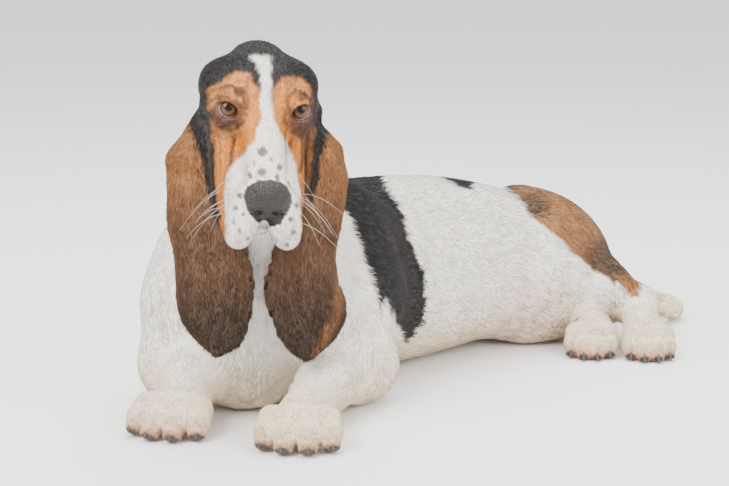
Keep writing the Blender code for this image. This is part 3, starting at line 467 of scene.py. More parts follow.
# ------------------------------------------------------------------ folds, lids, nostrils
def eye_axes():
    out = []
    for s in (1, -1):
        c = H(s * EYE[0], EYE[1], EYE[2])
        d = HL * (.30 * s) + HF * .70 + HU * .62
        out.append((s, c, d / np.linalg.norm(d)))
    return out


def chain(pts, r, k, sub=False):
    """a fold along head points, both sides"""
    out = []
    for s in (1, -1):
        for a, b in zip(pts[:-1], pts[1:]):
            out.append(Cone(H(a[0] * s, a[1], a[2]), H(b[0] * s, b[1], b[2]), r, r, k, sub))
    return out


def face_detail():
    P = []
    # brow folds over the eyes
    P += chain([(.019, .048, .0225), (.028, .044, .0290), (.038, .040, .0285), (.046, .037, .0210)], .0042, .009)
    P += chain([(.014, .060, .0150), (.017, .050, .0215), (.019, .040, .0270)], .0030, .008)
    for s, c, d in eye_axes():
        u = HU - d * (HU @ d)
        u /= np.linalg.norm(u)
        l = np.cross(u, d) * s
        R = np.stack([l, u, d])
        # heavy upper lid, slack lower lid, opening
        P.append(Cone(c + l * -.010 + u * .0040 + d * .0098, c + l * .000 + u * .0102 + d * .0090, .0030, .0034, .004))
        P.append(Cone(c + l * .000 + u * .0102 + d * .0090, c + l * .0115 + u * .0030 + d * .0080, .0034, .0030, .004))
        P.append(Cone(c + l * -.010 + u * -.0030 + d * .0098, c + l * .000 + u * -.0112 + d * .0085, .0024, .0026, .004))
        P.append(Cone(c + l * .000 + u * -.0112 + d * .0085, c + l * .0110 + u * -.0020 + d * .0075, .0026, .0024, .004))
        d2 = HL * (.17 * s) + HF * .72 + HU * .60
        d2 = d2 / np.linalg.norm(d2)
        P.append(Ell(c + d2 * .0112 - u * .0012, (.0106, .0078, .0105), R, .0020, True))
        # pouch fold under the eye
        P.append(Cone(c + l * -.012 + u * -.0150 + d * .0060, c + l * .010 + u * -.0180 + d * .0020, .0022, .0022, .007))
        P.append(Cone(c + l * -.011 + u * -.0185 + d * .0055, c + l * .009 + u * -.0220 + d * .0010, .0016, .0016, .005, True))
    # side folds of the cheek towards the lip
    P += chain([(.040, .056, -.026), (.040, .078, -.034), (.038, .098, -.040)], .0022, .008)
    # fullness of the crown before the ears, the hanging lips and the front of the mouth
    P += chain([(.024, -.012, .008), (.042, -.016, -.010)], .0120, .026)
    P += chain([(.0235, .160, -.056), (.0262, .161, -.0650)], .0132, .010)
    P.append(Ell(H(0, .1425, -.0470), (.0200, .0115, .0210), HRm, .006))
    # wings of the nose, nostrils with their side slits, and the groove below the nose
    P.append(Ell(H(0, .1560, -.0215), (.0190, .0115, .0145), HRm, .004))
    for s in (1, -1):
        P.append(Ell(H(.0150 * s, .1580, -.0175), (.0092, .0090, .0105), HRm, .004))
        P.append(Ell(H(.0098 * s, .1680, -.0200), (.0050, .0070, .0048), HRm, .0020, True))
        P.append(Cone(H(.0125 * s, .1670, -.0215), H(.0215 * s, .1600, -.0245), .0026, .0012, .0016, True))
    P.append(Cone(H(0, .1700, -.0110), H(0, .1700, -.0300), .0011, .0012, .0015, True))
    P.append(Cone(H(0, .1680, -.0300), H(0, .1600, -.0600), .0013, .0015, .0030, True))
    return P


def body_detail():
    P = []
    # loose skin over the wrists
    for a, b in (((-.078, -.176, .050), (-.046, -.190, .050)), ((-.222, -.138, .059), (-.180, -.144, .057))):
        P.append(Cone(a, b, .0036, .0036, .012))
    # dewlap folds
    P.append(Cone((-.1190, -.160, .272), (-.1240, -.142, .150), .0095, .0120, .014))
    P.append(Cone((-.1010, -.158, .272), (-.1050, -.142, .150), .0095, .0120, .014))
    # shoulder blade, point of hip, fold before the thigh
    P.append(Cone((-.030, .000, .200), (.002, -.030, .130), .030, .026, .05))
    P.append(Cone((.205, .285, .170), (.232, .300, .158), .020, .018, .045))
    P.append(Cone((.176, .214, .150), (.205, .190, .060), .0060, .0050, .022, True))
    return P


EAR_MORE = .0022           # the ears' leather keeps its thickness under the coat
SCENE_HEAD = head() + ear_roots() + lids() + face_detail()
PAW_MASS, PAW_INFO = paws()
SCENE_BODY = torso() + forelegs() + hindlegs() + tail() + PAW_MASS + body_detail()
SCENE_EARS = ear_lofts()


def outline(p):
    d = smin(union(SCENE_BODY, p), union(SCENE_HEAD, p), .03)
    return smax(smin(d, union(SCENE_EARS, p) - EAR_MORE, .006), -p[:, 2], .004)


def coat_depth(p):
    """how far the skin lies inside the outline: least on the nose, lids, muzzle and feet"""
    l, f, u = head_coords(p)
    face = step(.10, .06, np.sqrt((l / 1.0) ** 2 + (f - .10) ** 2 + (u + .02) ** 2))
    foot = step(.050, .035, p[:, 2]) * step(-.13, -.16, p[:, 1])
    hind = step(.055, .040, p[:, 2]) * step(.20, .17, p[:, 1]) * step(.24, .26, p[:, 0])
    nose = step(.034, .026, np.sqrt(l ** 2 + (f - .158) ** 2 + ((u + .010) * 1.15) ** 2))
    thin = np.maximum(np.maximum(face, foot), hind)
    return SKIN_IN * (1 - .5 * thin) * (1 - .85 * nose) + .0002


def skin_field(p):
    return outline(p) + coat_depth(p)


def surface(lo, hi, h, block=6, slack=1.7):
    lo = np.array(lo, float)
    n = np.ceil((np.array(hi) - lo) / h / block).astype(int) * block + 1
    V = np.full(n, 1.0, np.float32)
    nb = (n - 1) // block
    # coarse pass on big blocks first
    size = block * h
    cs = np.stack(np.meshgrid(*[np.arange(k) for k in nb], indexing="ij"), -1).reshape(-1, 3)
    cen = lo + (cs + .5) * size
    dc = blocks_eval(skin_field, cen, size * 3)
    rad = size * .5 * math.sqrt(3) * slack
    g = np.stack(np.meshgrid(*[np.arange(block + 1)] * 3, indexing="ij"), -1).reshape(-1, 3)
    for b, d in zip(cs, dc):
        i, j, k = b * block
        if abs(d) > rad:
            if d < 0:
                V[i:i + block + 1, j:j + block + 1, k:k + block + 1] = -1
    for b, d in zip(cs, dc):
        if abs(d) <= rad:
            i, j, k = b * block
            V[i:i + block + 1, j:j + block + 1, k:k + block + 1] = skin_field(lo + (b * block + g) * h).reshape(block + 1, block + 1, block + 1)
    return nets(V, lo, h)


def field_normal(p, e=.0006):
    d = blocks_eval(skin_field, p)
    g = np.stack([blocks_eval(skin_field, p + e * np.eye(3)[i]) - d for i in range(3)], -1) / e
    return d, g


def settle(p, steps=2, most=.004):
    for _ in range(steps):
        d, g = field_normal(p)
        mv = g * (d / np.maximum((g * g).sum(1), .3))[:, None]
        n = np.linalg.norm(mv, axis=1)
        p = p - mv * np.minimum(1, most / np.maximum(n, 1e-9))[:, None]
    return p


def coords(mesh):
    a = np.empty(len(mesh.vertices) * 3, np.float64)
    mesh.vertices.foreach_get("co", a)
    return a.reshape(-1, 3)


# ------------------------------------------------------------------ markings and painted shade
WHITE = np.array([.90, .855, .79])
BLACK = np.array([.0115, .0100, .0098])
TAN = np.array([.60, .215, .034])
BROW = np.array([.60, .235, .062])
EAR_TOP, EAR_MID, EAR_LOW = np.array([.27, .112, .042]), np.array([.105, .050, .027]), np.array([.036, .0205, .0130])
PINK = np.array([.70, .43, .36])
RUMP = np.array([.32, .150, .056])
NOSE_COL = np.array([.0105, .0084, .0078])

SADDLE = [(343, 150), (372, 150), (386, 190), (396, 204), (405, 222), (410, 242), (418, 260), (425, 280), (426, 300), (424, 322), (414, 334),
          (405, 343), (399, 329), (391, 310), (386, 297), (381, 311), (377, 300), (371, 282), (365, 262), (360, 245), (352, 227), (345, 212), (330, 205), (330, 160)]
BACK_SPOT = [(424, 155), (462, 155), (468, 176), (473, 183), (470, 190), (460, 189), (447, 182), (437, 177)]
RUMP_PATCH = [(490, 155), (530, 155), (560, 168), (590, 190), (612, 215), (628, 245), (640, 275), (640, 297), (631, 296), (621, 286), (605, 277), (592, 269),
              (580, 260), (567, 250), (560, 238), (550, 230), (535, 220), (526, 210), (520, 200), (505, 190), (494, 176)]
BARE = [(513, 286), (542, 275), (567, 295), (566, 322), (545, 342), (505, 348), (488, 344), (480, 330), (490, 310), (500, 300)]
FACE = [(203, 98), (212, 87), (222, 80), (236, 74), (249, 76), (258, 88), (262, 108), (266, 108), (272, 90), (284, 77), (299, 77), (311, 87), (323, 100),
        (322, 130), (317, 168), (309, 198), (306, 240), (224, 244), (220, 215), (214, 190), (206, 150), (203, 125)]
BLAZE = [(250, 57), (258, 66), (260, 83), (261, 104), (260, 120), (256, 139), (248, 150), (235, 161), (227, 179), (225, 200), (226, 227), (222, 250), (222, 290),
         (310, 290), (306, 250), (300, 216), (300, 190), (297, 168), (289, 150), (280, 134), (274, 120), (271, 104), (271, 78), (269, 57)]
BAND_L = [(190, 84), (206, 84), (209, 110), (214, 150), (217, 195), (213, 205), (206, 180), (199, 150), (190, 125)]
BAND_R = [(309, 84), (326, 90), (330, 118), (322, 150), (317, 185), (311, 204), (308, 190), (312, 160), (314, 130), (312, 105)]


def mix(a, b, t):
    t = np.asarray(t)[:, None]
    return a * (1 - t) + b * t


def paint(p, n):
    """the coat's colour at points p with outward normals n, with painted shade in the folds and creases of the brow,
    throat, toes and ear roots
    """
    N = len(p)
    u, v = side_uv(p)
    w1, w2 = noise(p, .009, 1), noise(p, .0035, 2)
    uu, vv = u + w1 * 2.2 + w2 * 1.3, v + noise(p, .009, 3) * 2.2 + noise(p, .0035, 4) * 1.3
    near = step(.35, -.05, -(n @ -LOOK))          # 1 on the side that faces the viewer
    near = step(-.30, .05, n @ -LOOK)
    l, f, uh = head_coords(p)
    dE = np.minimum(SCENE_EARS[0].d(p), SCENE_EARS[1].d(p))
    dH = np.empty(N)
    dH[:] = blocks_eval(lambda q: union(SCENE_HEAD, q), p)
    dB = blocks_eval(lambda q: union(SCENE_BODY, q), p)
    ear = step(-.0015, .0015, np.minimum(dH, dB) - dE)
    hd = step(-.012, .012, dB - dH)
    col = np.tile(WHITE, (N, 1)) * (1 + .035 * noise(p, .02, 5)[:, None])
    # ticking and warm shading of the white coat
    tick = step(.50, .72, noise(p, .0062, 6) * .75 + noise(p, .030, 7) * .35)
    col = mix(col, np.array([.40, .36, .34]), tick * .42)
    low = step(.10, .02, p[:, 2])
    col = mix(col, np.array([.84, .68, .46]), low * .85)
    # patches of the trunk; the far side carries its own
    far = 1 - near
    saddle = inside(SADDLE, uu, vv, 1.6)
    far_saddle = step(-.006, .006, .075 - np.abs((p[:, 0] + .035) * .75 + (p[:, 1] - .10) * .62 + noise(p, .02, 8) * .012 - .0)) * step(.07, .10, p[:, 2] + noise(p, .015, 9) * .02) * step(.02, .05, p[:, 1] - p[:, 0] * .9 + .02)
    col = mix(col, BLACK, (saddle * near + far_saddle * far) * (1 - hd))
    col = mix(col, BLACK, inside(BACK_SPOT, uu, vv, 1.6) * np.maximum(near, step(.17, .20, p[:, 2])))
    rump_far = step(-.008, .008, (p[:, 0] - .155) * .6 + (p[:, 1] - .27) * .55 + noise(p, .02, 10) * .012) * step(.035, .06, p[:, 2] + noise(p, .012, 11) * .01) * step(.36, .34, p[:, 0] * .6 + p[:, 1] * .5)
    rump = inside(RUMP_PATCH, uu, vv, 1.8) * near + rump_far * far
    dark = np.clip(step(28, 6, np.hypot(u - 500, (v - 178))) + step(20, 8, np.hypot((u - 530) * .8, v - 207)) * .7 + step(34, 8, np.hypot((u - 603) * .9, (v - 262) * .9)) * .75, 0, 1) + noise(p, .004, 12) * .22 + noise(p, .0018, 13) * .22
    rcol = mix(np.tile(RUMP, (N, 1)), BLACK * 1.6, np.clip(dark, 0, 1))
    col = mix(col, 0, rump) + rcol * rump[:, None]
    # bare belly
    bare = inside(BARE, uu, vv, 7) * near
    col = mix(col, PINK * np.array([1.0, 1.12, 1.15]), bare * .55)
    spot = step(.10, .35, noise(p, .0085, 14) + .5 * noise(p, .003, 15)) * inside([(520, 282), (566, 292), (566, 316), (545, 330), (505, 346), (488, 342), (500, 318), (522, 304)], u, v, 5) * near
    col = mix(col, np.array([.30, .24, .22]), spot * .55)
    # feet: pink between the toes, dark pads, and painted shade as darker lines down the gaps between the toes
    for foot, (tips, pads) in PAW_INFO.items():
        for c, d, up in pads:
            pc = c + d * .0045 - up * .0045 if foot[0] == "f" else c + d * .004
            r = .0104 if foot[0] == "f" else .0084
            dd = np.linalg.norm(p - pc, axis=1)
            col = mix(col, np.array([.60, .29, .155]), step(r * 2.2, r * 1.0, dd + noise(p, .004, 55) * .002) * .72)
            col = mix(col, np.array([.060, .050, .046]), step(r * 1.10, r * .88, dd + noise(p, .003, 56) * .0008))
        # painted shade in the gap between each pair of toes, darkest at the front and low down
        for (c, d, up), (c2, d2, up2) in zip(pads[:-1], pads[1:]):
            m_ = (c + c2) / 2
            a_, b_ = m_ + d * .004, m_ - d * .028 + up * .010
            t_ = np.clip(((p - a_) @ (b_ - a_)) / ((b_ - a_) @ (b_ - a_)), 0, 1)
            dd = np.linalg.norm((p - a_ - t_[:, None] * (b_ - a_)) * np.array([1, 1, .08]), axis=1)
            col = mix(col, np.array([.30, .135, .075]), step(.0042, .0008, dd) * (1 - .5 * t_) * step(.050, .042, p[:, 2]) * .85)
    # ---- head
    hc = np.tile(BLACK, (N, 1)) * 1.15
    face = inside(FACE, uu, vv, 2.0)
    # away from the viewer the tan runs along the cheek below the cap
    side_tan = step(-.006, .006, -.012 - uh + .22 * np.clip(f, 0, .2) + noise(p, .012, 16) * .006) * step(-.035, -.015, f)
    face = face * near + side_tan * far
    fcol = mix(np.tile(TAN, (N, 1)) * (1 + .16 * noise(p, .010, 17)[:, None]), BROW, step(118, 96, v + noise(p, .01, 18) * 6) * .8)
    hc = mix(hc, 0, face) + fcol * face[:, None]
    # dark shading round and under the eyes, and between brow and blaze
    for s in (1, -1):
        eu, ev = (303, 115) if s > 0 else (228, 109)
        dd = np.hypot((u - eu) / 1.25, v - ev - 4)
        hc = mix(hc, np.array([.030, .020, .018]), step(19, 12, dd + w2 * 3) * near * .80)
        dd = np.hypot((u - eu - s * 3) / 1.1, (v - ev - 17) / 1.1)
        hc = mix(hc, np.array([.05, .030, .025]), step(17, 5, dd + w1 * 3) * near * .62)
    # painted shade: darker lines in the brow folds
    hc = mix(hc, np.array([.14, .055, .022]), step(.2, .55, noise(p * np.array([1, 1, .5]), .0075, 19)) * face * step(104, 92, v) * .45)
    white_by_shape = step(-.004, .004, f - .098 - .35 * np.clip(np.abs(l) - .018, 0, 1) + noise(p, .01, 20) * .005)
    blaze = inside(BLAZE, uu, vv, 1.8) * near + white_by_shape * far
    hc = mix(hc, 0, blaze) + WHITE * blaze[:, None]
    # arcs and hollows of the brow, painted shade in its folds over the eyes and in its hollows
    for line in ([(205, 103), (208, 96), (215, 90), (224, 87), (233, 87), (239, 91)], [(206, 108), (211, 101), (219, 97), (228, 97)], [(312, 108), (309, 99), (303, 93), (296, 91), (291, 95)],
                 [(222, 128), (229, 131), (238, 128), (244, 121)], [(293, 133), (301, 138), (309, 134), (314, 126)], [(236, 135), (232, 150), (231, 165)], [(303, 142), (302, 158), (300, 172)]):
        d_ = np.full(N, 1e9)
        for (x0, y0), (x1, y1) in zip(line[:-1], line[1:]):
            t_ = np.clip(((u - x0) * (x1 - x0) + (v - y0) * (y1 - y0)) / ((x1 - x0) ** 2 + (y1 - y0) ** 2), 0, 1)
            d_ = np.minimum(d_, np.hypot(u - x0 - t_ * (x1 - x0), v - y0 - t_ * (y1 - y0)))
        hc = mix(hc, np.array([.085, .036, .018]), step(2.8, .6, d_ + w2 * .6) * near * face * .80)
    for cu, cv, ru, rv, am in ((241, 93, 7.5, 6, .72), (246, 104, 5, 10, .45), (302, 97, 8, 7, .62), (288, 99, 4, 10, .40), (211, 113, 5, 9, .45), (314, 106, 5, 10, .50), (272, 96, 4, 16, .30), (247, 86, 3, 10, .35)):
        dd = np.hypot((u - cu) / ru, (v - cv) / rv)
        hc = mix(hc, np.array([.050, .024, .014]), step(1.25, .35, dd + w2 * .25) * near * np.minimum(.9, am * 1.25))
    jaw = step(-.050, -.060, uh) * step(.035, .055, f) * (1 - face * near) * step(.026, .019, np.abs(l))
    hc = mix(hc, WHITE * .88, jaw)
    # freckles of the muzzle
    for fu, fv, fr in ((263, 152, 4.6), (262, 172, 4.2), (279, 168, 3.2), (277, 178, 2.8), (250, 176, 2.2), (254, 163, 1.8), (288, 183, 2.0), (271, 160, 1.8), (240, 196, 2.4), (236, 208, 2.2),
                       (234, 222, 2.0), (240, 231, 2.2), (247, 238, 1.8), (291, 219, 2.0), (293, 232, 2.2), (287, 244, 1.8), (243, 214, 1.6), (296, 205, 1.8), (259, 183, 3.0), (284, 192, 2.2)):
        hc = mix(hc, np.array([.13, .095, .080]), step(fr + 1.3, fr - .5, np.hypot(u - fu, v - fv) + w2 * 1.4) * near * .90)
    chin = np.exp(-((u - 266) / 19) ** 2 - ((v - 236) / 12) ** 2) + .8 * np.exp(-((u - 266) / 16) ** 2 - ((v - 178) / 6) ** 2)
    hc = mix(hc, np.array([.24, .19, .165]), np.clip(step(-.25, .45, noise(p, .0030, 53) + noise(p, .0014, 54) * .6) * chin, 0, 1) * near * .62)
    hc = mix(hc, np.array([.42, .36, .32]), step(.25, .6, noise(p, .0052, 21)) * step(150, 190, v) * blaze * near * .34)
    # the head's colours over the body's
    col = mix(col, 0, hd) + hc * hd[:, None]
    # throat below the jaw stays white, with painted shade as a brownish line in its fold
    col = mix(col, np.array([.36, .25, .19]), step(2.6, 1.0, np.abs(u - 266 - (v - 262) * .02)) * step(256, 268, v) * step(400, 290, v) * near * (1 - hd) * (1 - ear) * .32)
    # ---- ears
    z = p[:, 2] + noise(p, .02, 22) * .012
    ec = mix(np.tile(EAR_LOW, (N, 1)), EAR_MID, step(.12, .21, z))
    ec = mix(ec, EAR_TOP, step(.22, .315, z))
    edge = np.minimum(np.abs(u - np.interp(v, [120, 165, 230, 318, 352], [190, 167, 168, 173, 205])), np.abs(u - np.interp(v, [118, 165, 215, 310, 354], [323, 344, 343, 338, 318])))
    ec = mix(ec, EAR_TOP * .9, step(9, 2, edge) * .45 * near)
    ec = ec * np.array([1.04, 1.02, .86])
    ec = ec * (1 + .22 * noise(p * np.array([1, 1, .35]), .006, 23)[:, None] + .12 * noise(p, .0022, 24)[:, None])
    band = np.maximum(inside(BAND_L, uu, vv, 2.2), inside(BAND_R, uu, vv, 2.2)) * near
    ec = mix(ec, BLACK * 1.3, band)
    ec = mix(ec, BLACK * 1.3, step(.352, .366, z) * (1 - near))
    col = mix(col, 0, ear) + ec * ear[:, None]
    # the shaded crease where the ear leaves the head
    crease = step(.0050, .0010, np.abs(np.minimum(dH, dB) - dE)) * step(.003, -.003, np.abs(dE) - .010)
    col = mix(col, np.array([.030, .018, .014]), crease * .80)
    hd = hd * (1 - ear)
    hc2 = band * hd
    col = mix(col, BLACK * 1.3, hc2)
    return np.clip(col, .004, .95), hd, ear, blaze * hd


NOSE_LINE = [(243.3, 196), (245.7, 188), (252, 182.5), (261.6, 180), (271, 179.3), (281, 181.6), (288, 187), (292, 196), (292.4, 203), (289, 210.5), (285, 218), (281, 224),
             (274.5, 227), (267, 227), (261.5, 224.5), (256, 221.8), (251, 216), (245.7, 208.6)]


def nose_mask(p):
    l, f, u = head_coords(p)
    a_, b_ = side_uv(p)
    w = noise(p, .0030, 51) * 1.0 + noise(p, .0012, 52) * .9
    return inside(NOSE_LINE, a_ + w, b_ + w, 1.0) * step(.118, .122, f) * step(-.048, -.044, u)


def nose_shape(p):
    l, f, u = head_coords(p)
    a = np.sqrt((l / .0262) ** 2 + ((f - .1560) / .0200) ** 2 + ((u + .0105) / .0188) ** 2)
    low = step(-.0015, .0015, np.minimum(0, 0) + (-.0275 - u))
    return step(1.06, .98, a) * step(.1400, .1450, f) * (1 - low)


def wet_mask(p):
    """rims of the lids"""
    out = np.zeros(len(p))
    for s, c, d in eye_axes():
        q = p - c
        u = HU - d * (HU @ d)
        u /= np.linalg.norm(u)
        a = q @ d
        low = step(.002, -.004, q @ u)
        rad = np.linalg.norm(q, axis=1)
        out = np.maximum(out, step(.0140, .0124, rad) * step(.002, .005, a) * (.15 + .85 * low))
    return out


# ------------------------------------------------------------------ skin mesh
def mesh_of(name, P, F):
    m = bpy.data.meshes.new(name)
    P = np.asarray(P, np.float32)
    F = np.asarray(F, np.int32)
    k = F.shape[1]
    m.vertices.add(len(P))
    m.vertices.foreach_set("co", P.ravel())
    m.loops.add(F.size)
    m.loops.foreach_set("vertex_index", F.ravel())
    m.polygons.add(len(F))
    m.polygons.foreach_set("loop_start", np.arange(0, F.size, k, dtype=np.int32))
    m.update(calc_edges=True)
    return m


def put(name, mesh):
    o = bpy.data.objects.new(name, mesh)
    bpy.context.scene.collection.objects.link(o)
    return o


P, F = surface((-.275, -.31, -.012), (.475, .44, .445), CELL)
P = settle(P, 1)
skin_mesh = mesh_of("skin", P, F)
skin = put("skin", skin_mesh)
for o in list(bpy.context.selected_objects):
    o.select_set(False)
bpy.context.view_layer.objects.active = skin
skin.select_set(True)
bpy.ops.object.mode_set(mode="EDIT")
bpy.ops.mesh.select_all(action="SELECT")
bpy.ops.uv.smart_project(angle_limit=math.radians(66), island_margin=.002)
bpy.ops.object.mode_set(mode="OBJECT")
skin_mesh.uv_layers[0].name = "OFBake"


def refine(mesh, test):
    """splits the faces whose vertices all pass the test"""
    bm = bmesh.new()
    bm.from_mesh(mesh)
    p = np.array([v.co[:] for v in bm.verts])
    ok = test(p)
    bm.verts.ensure_lookup_table()
    edges = [e for e in bm.edges if ok[e.verts[0].index] and ok[e.verts[1].index]]
    bmesh.ops.subdivide_edges(bm, edges=edges, cuts=1, use_grid_fill=True)
    bmesh.ops.triangulate(bm, faces=[f for f in bm.faces if len(f.verts) > 4])
    bm.to_mesh(mesh)
    bm.free()


def near_face(p):
    l, f, u = head_coords(p)
    return (f > .018) & (np.abs(l) < .062) & (u > -.125) & (u < .06) & (f < .20)


def near_fine(p):
    l, f, u = head_coords(p)
    e = np.minimum(np.linalg.norm(p - H(EYE[0], EYE[1], EYE[2]), axis=1), np.linalg.norm(p - H(-EYE[0], EYE[1], EYE[2]), axis=1))
    nose = np.sqrt(l ** 2 + (f - .158) ** 2 + (u + .012) ** 2)
    return (e < .025) | (nose < .034)


def near_feet(p):
    out = np.zeros(len(p), bool)
    for tips, pads in PAW_INFO.values():
        for c, d, up in pads:
            out |= np.linalg.norm(p - c, axis=1) < .024
    return out


refine(skin_mesh, lambda p: near_face(p) | near_feet(p))
refine(skin_mesh, near_fine)
P = settle(coords(skin_mesh), 2, .0025)
skin_mesh.vertices.foreach_set("co", P.astype(np.float32).ravel())
skin_mesh.update()
print("skin", len(P), len(skin_mesh.polygons), flush=True)


# ------------------------------------------------------------------ materials
def nodes_of(name):
    m = bpy.data.materials.new(name)
    m.use_nodes = True
    t = m.node_tree
    return m, t, t.nodes["Principled BSDF"]


def add(t, kind, **inputs):
    n = t.nodes.new(kind)
    for k, v in inputs.items():
        if k in n.inputs:
            n.inputs[k].default_value = v
        else:
            setattr(n, k, v)
    return n


def skin_material():
    m, t, b = nodes_of("skin")
    col = add(t, "ShaderNodeAttribute", attribute_name="Col")
    kind = add(t, "ShaderNodeAttribute", attribute_name="Kind")
    sep = add(t, "ShaderNodeSeparateColor")
    t.links.new(kind.outputs["Color"], sep.inputs[0])
    co = add(t, "ShaderNodeTexCoord")
    fine = add(t, "ShaderNodeTexNoise", Scale=420.0, Detail=6.0, Roughness=.6)
    t.links.new(co.outputs["Object"], fine.inputs["Vector"])
    cells = add(t, "ShaderNodeTexVoronoi", Scale=430.0)
    t.links.new(co.outputs["Object"], cells.inputs["Vector"])
    tone = add(t, "ShaderNodeMapRange")
    tone.inputs["To Min"].default_value, tone.inputs["To Max"].default_value = .78, 1.16
    t.links.new(fine.outputs["Fac"], tone.inputs["Value"])
    mul = add(t, "ShaderNodeVectorMath", operation="SCALE")
    t.links.new(col.outputs["Color"], mul.inputs[0])
    t.links.new(tone.outputs[0], mul.inputs["Scale"])
    t.links.new(mul.outputs[0], b.inputs["Base Color"])
    # rough where it carries hair, moist on the nose, wet at the lids
    r = add(t, "ShaderNodeMath", operation="MULTIPLY_ADD")
    t.links.new(sep.outputs[0], r.inputs[0])
    r.inputs[1].default_value, r.inputs[2].default_value = -.30, .66
    r2 = add(t, "ShaderNodeMath", operation="MULTIPLY_ADD")
    t.links.new(sep.outputs[1], r2.inputs[0])
    r2.inputs[1].default_value = -.42
    t.links.new(r.outputs[0], r2.inputs[2])
    t.links.new(r2.outputs[0], b.inputs["Roughness"])
    hgt = add(t, "ShaderNodeMix", data_type="FLOAT")
    t.links.new(sep.outputs[0], hgt.inputs[0])
    t.links.new(fine.outputs["Fac"], hgt.inputs[2])
    t.links.new(cells.outputs["Distance"], hgt.inputs[3])
    bump = add(t, "ShaderNodeBump", Strength=.8, Distance=.0012)
    t.links.new(hgt.outputs[0], bump.inputs["Height"])
    t.links.new(bump.outputs[0], b.inputs["Normal"])
    b.inputs["Subsurface Weight"].default_value = .06
    b.inputs["Subsurface Radius"].default_value = (.004, .002, .001)
    b.inputs["Specular IOR Level"].default_value = .35
    return m


def coat_material():
    m, t, b = nodes_of("coat")
    col = add(t, "ShaderNodeAttribute", attribute_name="Col")
    t.links.new(col.outputs["Color"], b.inputs["Base Color"])
    b.inputs["Roughness"].default_value = .58
    b.inputs["Specular IOR Level"].default_value = .32
    return m


def eye_material():
    m, t, b = nodes_of("eye")
    col = add(t, "ShaderNodeAttribute", attribute_name="Col")
    t.links.new(col.outputs["Color"], b.inputs["Base Color"])
    b.inputs["Roughness"].default_value = .07
    b.inputs["Specular IOR Level"].default_value = .22
    return m


def plain(name, rgb, rough, scale=200.0, amount=.12):
    m, t, b = nodes_of(name)
    co = add(t, "ShaderNodeTexCoord")
    n = add(t, "ShaderNodeTexNoise", Scale=scale, Detail=5.0)
    t.links.new(co.outputs["Object"], n.inputs["Vector"])
    ramp = add(t, "ShaderNodeMix", data_type="RGBA")
    t.links.new(n.outputs["Fac"], ramp.inputs[0])
    ramp.inputs[6].default_value = (*[c * (1 - amount * 2) for c in rgb], 1)
    ramp.inputs[7].default_value = (*[min(1, c * (1 + amount * 2)) for c in rgb], 1)
    t.links.new(ramp.outputs[2], b.inputs["Base Color"])
    b.inputs["Roughness"].default_value = rough
    return m


SKIN_MAT, COAT_MAT, EYE_MAT = skin_material(), coat_material(), eye_material()
CLAW_MAT = plain("claw", (.055, .045, .040), .5, 260.0)
HAIR_MAT = plain("whisker", (.72, .62, .50), .4, 30.0, .03)


def colour(mesh, name, C):
    a = mesh.color_attributes.new(name, "FLOAT_COLOR", "POINT")
    c = np.ones((len(mesh.vertices), 4), np.float32)
    c[:, :3] = C
    a.data.foreach_set("color", c.ravel())


def finish_piece(o, mat, slot, *nodes):
    P = to_part(coords(o.data))
    o.data.vertices.foreach_set("co", P.astype(np.float32).ravel())
    o.data.materials.clear()
    o.data.materials.append(mat)
    o.data.shade_smooth()
    o.data.update()
    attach(o, "root")
    if nodes:
        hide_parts(*nodes)


# ------------------------------------------------------------------ colours of the skin
nrm = np.empty(len(P) * 3, np.float32)
skin_mesh.vertices.foreach_get("normal", nrm)
nrm = nrm.reshape(-1, 3).astype(float)
C, is_head, is_ear, is_blaze = paint(P, nrm)
nose_w, wet_w = nose_mask(P), wet_mask(P)
under = C.copy()
nu, nv_ = side_uv(P)
grain = noise(P, .0026, 61) + .7 * noise(P, .0012, 62)
# nose leather colour; its upper part is painted lighter brown-grey where light falls on it, and the black of the
# nostrils and of the groove down the middle is painted shade
nose_leather_and_painted_light = mix(np.tile(NOSE_COL, (len(P), 1)), np.array([.026, .0180, .0150]), np.clip(step(214, 188, nv_ + grain * 5) * .75 + grain * .12, 0, 1))
for cu, cv, ru, rv in ((256.8, 213.6, 4.6, 4.4), (280.0, 214.6, 4.8, 4.0), (251.4, 209.5, 2.4, 2.0), (286.2, 210.0, 2.4, 2.0)):
    nose_leather_and_painted_light = mix(nose_leather_and_painted_light, np.array([.0022, .0018, .0018]), step(1.12, .80, np.hypot((nu - cu) / ru, (nv_ - cv) / rv)))
nose_leather_and_painted_light = mix(nose_leather_and_painted_light, np.array([.006, .005, .005]), step(1.3, .5, np.abs(nu - 268.2)) * step(198, 204, nv_) * .8)
C = C * (1 - nose_w[:, None]) + nose_leather_and_painted_light * nose_w[:, None]
C = mix(C, np.array([.115, .045, .040]), wet_w * .85)
colour(skin_mesh, "Col", C)
colour(skin_mesh, "Kind", np.stack([nose_w, wet_w, np.zeros(len(P))], -1))

